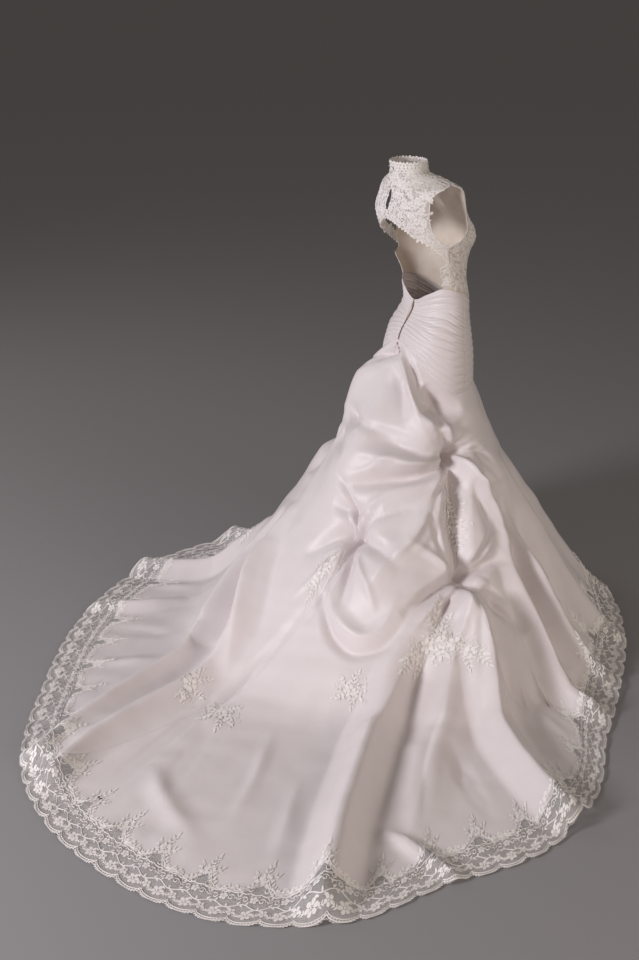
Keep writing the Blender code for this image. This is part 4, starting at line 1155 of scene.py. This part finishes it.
def runs_at(height):
    """Distance round the figure at one height, for each of TURNS, from the front."""
    line = torso(TURNS, np.full(len(TURNS), height))
    run = run_of(line)
    return run - np.interp(0, TURNS, run)


def torso_scale(reference):
    """Heights, how much wider the chart is than the torso there, and the rise in height of a step up it."""
    heights = np.linspace(1.05, COLLAR_TOP, 50)
    girth = np.array([np.ptp(runs_at(height)) for height in heights])
    line = torso(np.full(50, 215.0), heights)
    steep = np.gradient(heights) / np.linalg.norm(np.gradient(line, axis=0), axis=1)
    return heights, np.ptp(runs_at(reference)) / girth, steep


def on_torso(lift, run):
    """A carrier for flat points, x the run round the figure and y the height up it."""

    def place(flat):
        points = shell_points(np.interp(flat[:, 0], run, TURNS), flat[:, 1], flat[:, 2] + lift)
        return points + np.array((0, SHOULDER_BACK, HOLD_HEIGHT))

    return place


def curl_tile():
    shape = bmesh.new()
    scroll(shape, 0, 0, 0.0085, 0.4, 1, 0.0021)
    scroll(shape, 0.011, 0.006, 0.0055, 3.4, -1, 0.0019, 1.0, 11)
    scroll(shape, -0.010, 0.007, 0.0055, -0.6, 1, 0.0019, 1.0, 11)
    for k in range(4):
        angle = 0.6 + 1.5 * k
        at = 0.012 * math.cos(angle), 0.012 * math.sin(angle)
        oval(shape, *at, 0.0068, 0.0034, angle + 1.1, 0.3, 8, 0.0009)
    return mesh_of("curl tile", shape)


def bloom_tile():
    shape = bmesh.new()
    flower(shape, 0, 0, 0.0115, 6, 0.2, 8)
    for k in range(3):
        angle = 0.5 + 2.1 * k
        at = 0.0155 * math.cos(angle), 0.0155 * math.sin(angle)
        oval(shape, *at, 0.0085, 0.0042, angle, 0.3, 8, 0.0009)
    return mesh_of("bloom tile", shape)


def leaf_tile():
    shape = bmesh.new()
    spray(shape, -0.011, 0, 0.018, 0.0, 3, 0.0095)
    return mesh_of("leaf tile", shape)


def scattered(inside, low, high, pitch, tiles, scale, rng):
    """Tiles on a staggered grid over the torso, kept where their middles lie inside the piece."""
    found = []
    row = 0
    y = low[1]
    while y < high[1]:
        wide, steep = (float(np.interp(y, scale[0], scale[k])) for k in (1, 2))
        x = low[0] + (0.5 * pitch * wide if row % 2 else 0)
        while x < high[0]:
            at = (x + rng.uniform(-0.15, 0.15) * pitch * wide, y + rng.uniform(-0.15, 0.15) * pitch * steep)
            if inside(*at):
                found.append((tiles[rng.integers(len(tiles))], *at, rng.uniform(0, 2 * math.pi), wide, steep))
            x += pitch * wide
        y += pitch * 0.82 * steep
        row += 1
    return found


def edge_cord(shape, bearings, heights, run, width=0.0032):
    cord(shape, np.stack((np.interp(bearings, TURNS, run), np.asarray(heights)), -1), width, 0.0018)


def front_lace(thread, pearl, tiles, rng):
    """Corded lace and beads all over the front bodice, in the flat of bearing and height."""
    chest = runs_at(CHEST_LEVEL)

    def inside(x, y):
        bearing = np.interp(x, chest, TURNS)
        return band_top(bearing) + 0.006 < y < NECK_TOP - 0.003 and abs(bearing) < bodice_edge(y) - 2.5

    span = float(np.interp(BODICE_TURN, TURNS, chest))
    laid = scattered(inside, (-span, 1.05), (span, NECK_TOP), 0.0200, tiles, torso_scale(CHEST_LEVEL), rng)
    shape = laid_out(laid)
    height = np.linspace(1.143, NECK_TOP, 60)
    for side in (-1, 1):
        edge_cord(shape, side * (bodice_edge(height) - 0.8), height, chest)
    bent("bodice_front_lace", shape, on_torso(0.0004, chest), thread)
    dots = bmesh.new()
    beads(dots, [(spot[1], spot[2]) for spot in laid[::2]], 0.0013, 0.0026)
    bent("bodice_front_beads", dots, on_torso(0.0, chest), pearl)


def yoke_lace(name, side, thread, tiles, rng, dots):
    """Corded lace on one half of the back yoke; its beads join the others in dots."""
    shoulder = runs_at(SHOULDER_LEVEL)

    def inside(x, y):
        turn = side * (180 - np.interp(x, shoulder, TURNS))
        start, end = yoke_span(y)
        share = (turn - start) / (end - start)
        return 0.02 < share < 0.97 and yoke_low(np.clip(share, 0, 1)) + 0.003 < y < NECK_TOP - 0.003

    low_x, high_x = np.interp((85.0, 275.0), TURNS, shoulder)
    scale = torso_scale(SHOULDER_LEVEL)
    laid = scattered(inside, (low_x, 1.225), (high_x, NECK_TOP), 0.0175, tiles, scale, rng)
    shape = laid_out(laid)
    height = np.linspace(YOKE_LOW_CENTRE, NECK_TOP, 40)
    edge_cord(shape, 180 - side * (yoke_span(height)[0] + 0.10), height, shoulder, 0.0026)
    height = np.linspace(YOKE_LOW_SIDE, NECK_TOP, 50)
    edge_cord(shape, 180 - side * (yoke_span(height)[1] - 0.7), height, shoulder, 0.0026)
    share = np.linspace(0, 1, 40)
    low = yoke_low(share)
    start, end = yoke_span(low)
    turn = 180 - side * (start + (end - start) * share)
    edge_cord(shape, turn, low + 0.0015, shoulder, 0.0026)
    along = np.interp(turn, TURNS, shoulder)
    for k in range(0, 40, 2):
        oval(shape, along[k], low[k] - 0.001, 0.0085, 0.0055, 1.2 + 0.5 * side, 0.3, 8)
    bent(name + "_lace", shape, on_torso(0.0003, shoulder), thread)
    beads(dots, [(spot[1], spot[2]) for spot in laid[::2]], 0.0013, 0.0026)


def collar_top(share):
    """Height of the collar's scalloped edge, by share of the way round."""
    return COLLAR_TOP + COLLAR_SCALLOP * np.abs(np.sin(share * math.pi * COLLAR_SCALLOPS))


def collar_band(net, thread, pearl):
    s, t = arc_columns(120, 12)
    points = shell_points(COLLAR_START + COLLAR_ROUND * s, NECK_TOP + (collar_top(s) - NECK_TOP) * t)
    piece = cloth_grid("collar_net", points, (0.36, 0.038), net, 0.0, False)
    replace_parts(piece, "collar")
    shape = bmesh.new()
    neck = runs_at(1.50)
    turn = np.linspace(180.8, 539.2, 97)
    edge_cord(shape, turn, np.full(97, NECK_TOP + 0.002), neck, 0.0030)
    edge_cord(shape, turn, collar_top((turn - COLLAR_START) / COLLAR_ROUND) - 0.001, neck, 0.0026)
    middles = np.interp(COLLAR_START + COLLAR_ROUND * (np.arange(32) + 0.5) / 32, TURNS, neck)
    for k, x in enumerate(middles):
        flower(shape, x, NECK_TOP + (0.014 if k % 2 else 0.024), 0.0105, 5, 0.7 * k, 8)
        oval(shape, x, NECK_TOP + (0.030 if k % 2 else 0.008), 0.009, 0.0045, 0.5 * k, 0.3, 8)
    cords = bent("collar_lace", shape, on_torso(0.0003, neck), thread)
    dots = bmesh.new()
    beads(dots, [(x, NECK_TOP + (0.014 if k % 2 else 0.024)) for k, x in enumerate(middles)], 0.0015, 0.0028)
    return piece, [cords, bent("collar_beads", dots, on_torso(0.0, neck), pearl)]


def on_skirt(bearing, down, turn):
    """A carrier for a flat motif: its middle at a bearing and way down, turned in the cloth."""
    step_b, step_d = 1.0, 0.01
    across = np.linalg.norm(dressed(bearing + step_b, down) - dressed(bearing - step_b, down))
    along = np.linalg.norm(skirt_form(bearing, down + step_d) - skirt_form(bearing, down - step_d))
    per_degree, per_down = across / (2 * step_b), along / (2 * step_d)

    def place(flat):
        x = flat[:, 0] * math.cos(turn) - flat[:, 1] * math.sin(turn)
        y = flat[:, 0] * math.sin(turn) + flat[:, 1] * math.cos(turn)
        b, d = bearing + x / per_degree, down - y / per_down
        return dressed(b, d) + facing(skirt, b, d) * (flat[:, 2] + MOTIF_LIFT)[:, None]

    return place


def motif_shape(parts):
    """A flat lace motif from a table of its parts: kind, x, y, size and turn."""
    shape = bmesh.new()
    spots = []
    for kind, x, y, size, turn in parts:
        if kind == "leaf":
            oval(shape, x, y, size, 0.45 * size, turn, 0.35, 10)
        elif kind == "spray":
            spray(shape, x, y, size, turn, 3, 0.36 * size)
        else:
            spots.append((x, y))
            if kind == "flower":
                flower(shape, x, y, size, 6, turn)
            elif kind == "small":
                flower(shape, x, y, size, 5, turn, 8)
            else:
                scroll(shape, x, y, size, turn, 1 if kind == "curl" else -1)
    rng = np.random.default_rng(len(spots))
    for x, y in spots:
        for k in range(FILLING):
            angle = 2 * math.pi * (k + rng.uniform(0, 0.7)) / FILLING
            far = rng.uniform(0.019, 0.036)
            at = x + far * math.cos(angle), y + far * math.sin(angle)
            oval(shape, *at, 0.0105, 0.0050, rng.uniform(0, 3.1), 0.3, 8)
    return shape, spots


def applique(name, node, parts, bearing, down, turn, thread, pearl):
    shape, spots = motif_shape(parts)
    place = on_skirt(bearing, down, turn)
    laid = bent(name, shape, place, thread)
    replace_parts(laid, node)
    dots = bmesh.new()
    beads(dots, spots, 0.0020, 0.0030)
    rng = np.random.default_rng(len(parts))
    ring = [
        (x + 0.012 * math.cos(angle), y + 0.012 * math.sin(angle))
        for x, y in spots
        for angle in rng.uniform(0, 6.28, 3)
    ]
    beads(dots, ring, 0.0012, 0.0024)
    bent(name + "_beads", dots, place, pearl)


# Small leaves strewn round each flower of a motif
FILLING = 9
# Laid lace motifs: kind, x, y, size, turn
WINGED = (
    ("spray", 0.000, 0.045, 0.075, 1.57),
    ("spray", -0.010, 0.030, 0.050, 2.20),
    ("spray", 0.010, 0.030, 0.050, 0.95),
    ("flower", 0.000, 0.018, 0.024, 0.2),
    ("flower", -0.040, -0.015, 0.023, 0.6),
    ("flower", 0.042, -0.018, 0.023, 1.0),
    ("small", -0.078, -0.045, 0.018, 0.3),
    ("small", 0.082, -0.050, 0.018, 0.9),
    ("small", 0.000, -0.028, 0.017, 0.5),
    ("spray", -0.055, -0.030, 0.060, 3.65),
    ("spray", 0.058, -0.034, 0.060, -0.52),
    ("spray", -0.088, -0.060, 0.045, 4.10),
    ("spray", 0.092, -0.066, 0.045, -0.95),
    ("spray", -0.060, -0.050, 0.045, 4.50),
    ("spray", 0.064, -0.054, 0.045, -1.35),
    ("curl", -0.028, 0.012, 0.012, 0.4),
    ("curl_back", 0.028, 0.012, 0.012, 2.8),
    ("curl", -0.066, -0.014, 0.010, 1.4),
    ("curl_back", 0.068, -0.018, 0.010, 1.8),
    ("curl", 0.022, -0.040, 0.010, 4.4),
    ("curl_back", -0.022, -0.040, 0.010, 5.0),
    ("leaf", -0.020, -0.052, 0.022, 4.2),
    ("leaf", 0.020, -0.052, 0.022, -1.0),
    ("leaf", 0.000, -0.056, 0.024, -1.57),
)
PLEAT_RUN = (
    ("small", 0.000, 0.085, 0.014, 0.2),
    ("spray", 0.000, 0.060, 0.050, -1.57),
    ("small", 0.002, 0.020, 0.013, 0.8),
    ("spray", 0.000, 0.010, 0.050, -1.50),
    ("small", -0.002, -0.040, 0.014, 0.4),
    ("spray", 0.000, -0.050, 0.045, -1.60),
    ("curl", 0.008, 0.045, 0.008, 1.0),
    ("curl_back", -0.008, -0.010, 0.008, 2.0),
)
SPRAY = (
    ("flower", 0.000, 0.000, 0.020, 0.3),
    ("spray", 0.004, 0.014, 0.045, 1.25),
    ("spray", -0.006, 0.010, 0.035, 2.30),
    ("spray", -0.008, -0.010, 0.040, 3.60),
    ("spray", 0.004, -0.014, 0.040, -1.40),
    ("small", 0.026, -0.010, 0.014, 0.6),
    ("curl", -0.028, 0.000, 0.010, 0.8),
    ("curl_back", 0.022, 0.016, 0.009, 2.0),
    ("leaf", 0.038, -0.024, 0.020, -0.6),
)
ROSETTE = (
    ("flower", 0.000, 0.000, 0.026, 0.1),
    ("small", -0.040, 0.012, 0.016, 0.7),
    ("small", 0.038, -0.016, 0.017, 0.2),
    ("spray", -0.014, 0.016, 0.040, 2.50),
    ("spray", 0.014, 0.018, 0.042, 0.80),
    ("spray", -0.018, -0.012, 0.045, 3.90),
    ("spray", 0.010, -0.022, 0.048, -1.30),
    ("curl", 0.030, 0.012, 0.011, 0.5),
    ("curl_back", -0.028, -0.004, 0.011, 2.4),
    ("leaf", 0.056, -0.030, 0.022, -0.5),
    ("leaf", -0.058, 0.020, 0.022, 2.8),
)
SEAM_RUN = (
    ("small", 0.000, 0.060, 0.014, 0.3),
    ("spray", 0.000, 0.045, 0.050, -1.45),
    ("small", -0.006, 0.000, 0.016, 0.9),
    ("spray", -0.004, -0.014, 0.050, -1.70),
    ("curl", 0.012, 0.020, 0.009, 0.8),
    ("curl_back", -0.018, 0.028, 0.009, 2.2),
    ("small", 0.006, -0.052, 0.013, 0.1),
    ("spray", 0.006, -0.060, 0.040, -1.40),
)
# Where each motif lies: name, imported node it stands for, parts, bearing, way down, turn
LAID = (
    ("lace_winged_right", "applique_winged_right", WINGED, 240.0, 0.77, 0.00),
    ("lace_pleat_right", "applique_pleat_right", PLEAT_RUN, 249.5, 0.43, 0.06),
    ("lace_spray_right", "applique_spray_right", SPRAY, 219.0, 0.91, 0.10),
    ("lace_tack_right", "applique_tack_right", ROSETTE, 197.0, 1.15, 0.30),
    ("lace_tack_left", "applique_tack_left", ROSETTE, 188.0, 1.16, 2.60),
    ("lace_seam_left", "applique_seam_left", SEAM_RUN, 199.0, 0.67, -0.25),
    ("lace_winged_left", "applique_winged_left", WINGED, 123.0, 0.77, 0.00),
)


def small_mesh(name, shape, material, node):
    """A hard piece already in the row's frame, shaded smooth but for its sharp edges."""
    bmesh.ops.recalc_face_normals(shape, faces=shape.faces[:])
    mesh = mesh_of(name, shape)
    mesh.shade_smooth()
    mesh.set_sharp_from_angle(angle=math.radians(40))
    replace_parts(finished(name, mesh, material), node)


def covered_button(node, material):
    """A domed button on a short shank, facing the way its packed ball stands off."""
    low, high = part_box(node)
    middle = (low + high) / 2
    shape = bmesh.new()
    ball = bmesh.ops.create_uvsphere(shape, u_segments=24, v_segments=14, radius=BUTTON_RADIUS)
    bmesh.ops.scale(shape, vec=(1, 0.72, 1), verts=ball["verts"])
    rim = bmesh.ops.create_cone(
        shape, cap_ends=True, segments=24, radius1=BUTTON_RADIUS * 0.98, radius2=BUTTON_RADIUS * 0.86,
        depth=0.0010, matrix=Matrix.Translation((0, -0.0012, 0)) @ Matrix.Rotation(math.pi / 2, 4, "X"),
    )
    bmesh.ops.translate(shape, vec=middle, verts=ball["verts"] + rim["verts"])
    small_mesh(node + "_dome", shape, material, node)


def box(shape, place, size):
    """A box in the flat, by its middle and its size."""
    matrix = Matrix.Translation(place) @ Matrix.Diagonal((*size, 1))
    bmesh.ops.create_cube(shape, size=1.0, matrix=matrix)


def zip_run(metal, tape):
    """The centre-back zip: two narrow tapes, coil teeth, the slider and its pull."""
    hips = runs_at(1.03)
    middle = float(np.interp(180.0, TURNS, hips))
    low, high = ZIP_LOW, ZIP_HIGH
    teeth = bmesh.new()
    for k in range(ZIP_TEETH):
        side = 1 if k % 2 else -1
        y = low + (high - ZIP_STOP - low) * (k + 0.5) / ZIP_TEETH
        box(teeth, (middle + side * 0.0009, y, 0.0014), (0.0028, 0.0012, 0.0016))
    chain = bent("zip_teeth", teeth, on_torso(0.0, hips), metal)
    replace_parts(chain, "zip_chain")
    slider = bmesh.new()
    for width, length, x, y, z, deep in (
        (0.0052, 0.0085, 0, high - 0.0052, 0.0016, 0.0026),
        (0.0024, 0.0040, 0, high - 0.0045, 0.0036, 0.0014),
        (0.0034, 0.0165, 0.0004, high - 0.0150, 0.0040, 0.0009),
    ):
        box(slider, (middle + x, y, z), (width, length, deep))
    bmesh.ops.bevel(slider, geom=slider.edges[:], offset=0.0004, segments=2, affect="EDGES",
                    profile=0.5, material=-1)
    body = bent("zip_slider_and_pull", slider, on_torso(0.0, hips), metal)
    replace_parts(body, "zip_slider")
    hook = bmesh.new()
    turn = np.linspace(0, 2 * math.pi, 17)
    eye = np.stack((middle + 0.003 + 0.0032 * np.cos(turn), high + 0.004 + 0.0022 * np.sin(turn)), -1)
    cord(hook, eye, 0.0012, 0.0012)
    bar = ((middle - 0.006, high + 0.004), (middle - 0.001, high + 0.0045), (middle + 0.001, high + 0.003))
    cord(hook, bar, 0.0014, 0.0012)
    bent("zip_hook", hook, on_torso(0.0006, hips), metal)
    edges = bmesh.new()
    for side in (-1, 1):
        x = middle + side * np.full(2, 0.0030)
        cord(edges, np.stack((x, np.array((low, high))), -1), 0.0022, 0.0008)
    bent("zip_tapes", edges, on_torso(0.0, hips), tape)


def studio_floor():
    """The plain pale floor that the train lies on."""
    shape = bmesh.new()
    bmesh.ops.create_grid(shape, x_segments=1, y_segments=1, size=60.0)
    mesh = mesh_of("floor", shape)
    floor = bpy.data.objects.new("floor", mesh)
    floor.location = (0, 0, -HOLD_HEIGHT)
    bpy.context.scene.collection.objects.link(floor)
    material, _, shader = new_material("floor")
    shader.inputs["Base Color"].default_value = (*FLOOR_COLOUR, 1)
    shader.inputs["Roughness"].default_value = 0.8
    mesh.materials.append(material)


def towards_camera():
    """The level way from the dress to the camera."""
    turn = math.radians(CAMERA_TURN)
    return Vector((math.sin(turn), -math.cos(turn), 0))


def studio_lights():
    """Soft light from all round, and the lamps of LIGHTS."""
    world = bpy.data.worlds.new("studio")
    bpy.context.scene.world = world
    world.use_nodes = True
    sky = world.node_tree.nodes["Background"]
    sky.inputs["Color"].default_value = (*WORLD_COLOUR, 1)
    sky.inputs["Strength"].default_value = WORLD_LIGHT
    back = towards_camera()
    right = Vector((-back.y, back.x, 0))
    aim = Vector(LIGHT_AIM)
    for name, across, towards, up, size, power, colour in LIGHTS:
        lamp = bpy.data.lights.new(name, "AREA")
        lamp.color = colour
        lamp.size = size
        lamp.energy = power
        thing = bpy.data.objects.new(name, lamp)
        thing.location = aim + right * across + back * towards + Vector((0, 0, up))
        thing.rotation_euler = (aim - thing.location).to_track_quat("-Z", "Y").to_euler()
        bpy.context.scene.collection.objects.link(thing)


def studio_camera():
    """The camera at the photo's angle."""
    lens = bpy.data.cameras.new("camera")
    lens.sensor_fit = "VERTICAL"
    lens.sensor_height = 36.0
    lens.lens = 50.0
    camera = bpy.data.objects.new("camera", lens)
    camera.location = CAMERA_PLACE
    pitch = math.radians(CAMERA_PITCH)
    look = -towards_camera() * math.cos(pitch) - Vector((0, 0, math.sin(pitch)))
    camera.rotation_euler = look.to_track_quat("-Z", "Y").to_euler()
    bpy.context.scene.collection.objects.link(camera)
    bpy.context.scene.camera = camera


# Lights: name, across to the camera's right, towards the camera, up, size, watts, colour
LIGHTS = (
    ("key", -3.6, 2.9, 1.55, 1.1, 180.0, (1.0, 0.98, 1.03)),
    ("fill", 3.2, 3.2, 1.0, 2.2, 62.0, (1.0, 0.91, 0.82)),
    ("rim", -3.2, -2.2, 2.4, 1.6, 22.0, (1.0, 0.98, 0.98)),
)

satin = cloth_material("satin", (0.710, 0.642, 0.640), (0.755, 0.687, 0.685), 0.48, 0.12, 7.0,
                       ((34.0, 0.14, 0.0030), (1400.0, 0.08, 0.0002)))
lining = cloth_material("lining", (0.62, 0.53, 0.45), (0.68, 0.59, 0.50), 0.55, 0.1, 30.0,
                        ((700.0, 0.3, 0.0004),))
thread = cloth_material("lace thread", (0.81, 0.76, 0.73), (0.88, 0.83, 0.80), 0.62, 0.25, 90.0,
                        ((1500.0, 0.4, 0.0004),))
net = net_material("net", (0.84, 0.79, 0.77), 0.0024, 0.00052)
dense_net = net_material("dense net", (0.80, 0.75, 0.72), 0.0018, 0.00060)
metal = plain_material("zip metal", (0.36, 0.25, 0.16), 0.38, 0.8)
tape = plain_material("zip tape", (0.46, 0.36, 0.27), 0.7)
pearl = plain_material("pearl", (0.90, 0.87, 0.84), 0.16, 0.0, 400.0, 0.5)

studio_floor()
studio_lights()
studio_camera()
bpy.context.scene.view_settings.view_transform = "Standard"
panels = {"front": "skirt_front", "left": "skirt_back_left", "right": "skirt_back_right"}
tile, peak = border_tile(), peak_tile()
for panel, node in panels.items():
    satin_panel(panel, node, satin)
    hem_node = node.replace("skirt", "lace_hem")
    border(panel, hem_node, net, thread, pearl, tile, peak)
for name, node, parts, bearing, down, turn in LAID:
    applique(name, node, parts, bearing, down, turn, thread, pearl)

band_cloth("hip_band_front", -78.0, 78.0, 150, satin)
band_cloth("hip_band_back_left", 78.0, 180 - ZIP_TURN, 110, satin)
band_cloth("hip_band_back_right", 180 + ZIP_TURN, 282.0, 110, satin)
bodice_ground(lining)
yoke_ground("yoke_back_left", 1, dense_net)
yoke_ground("yoke_back_right", -1, dense_net)
rng = np.random.default_rng(7)
tiles = curl_tile(), bloom_tile(), leaf_tile()
front_lace(thread, pearl, tiles, rng)
dots = bmesh.new()
yoke_lace("yoke_back_left", 1, thread, tiles, rng, dots)
yoke_lace("yoke_back_right", -1, thread, tiles, rng, dots)
bent("yoke_beads", dots, on_torso(0.0, runs_at(SHOULDER_LEVEL)), pearl)
collar_band(dense_net, thread, pearl)
for number in (1, 2, 3):
    covered_button(f"cover_button_{number}", satin)
covered_button("collar_button", pearl)
zip_run(metal, tape)
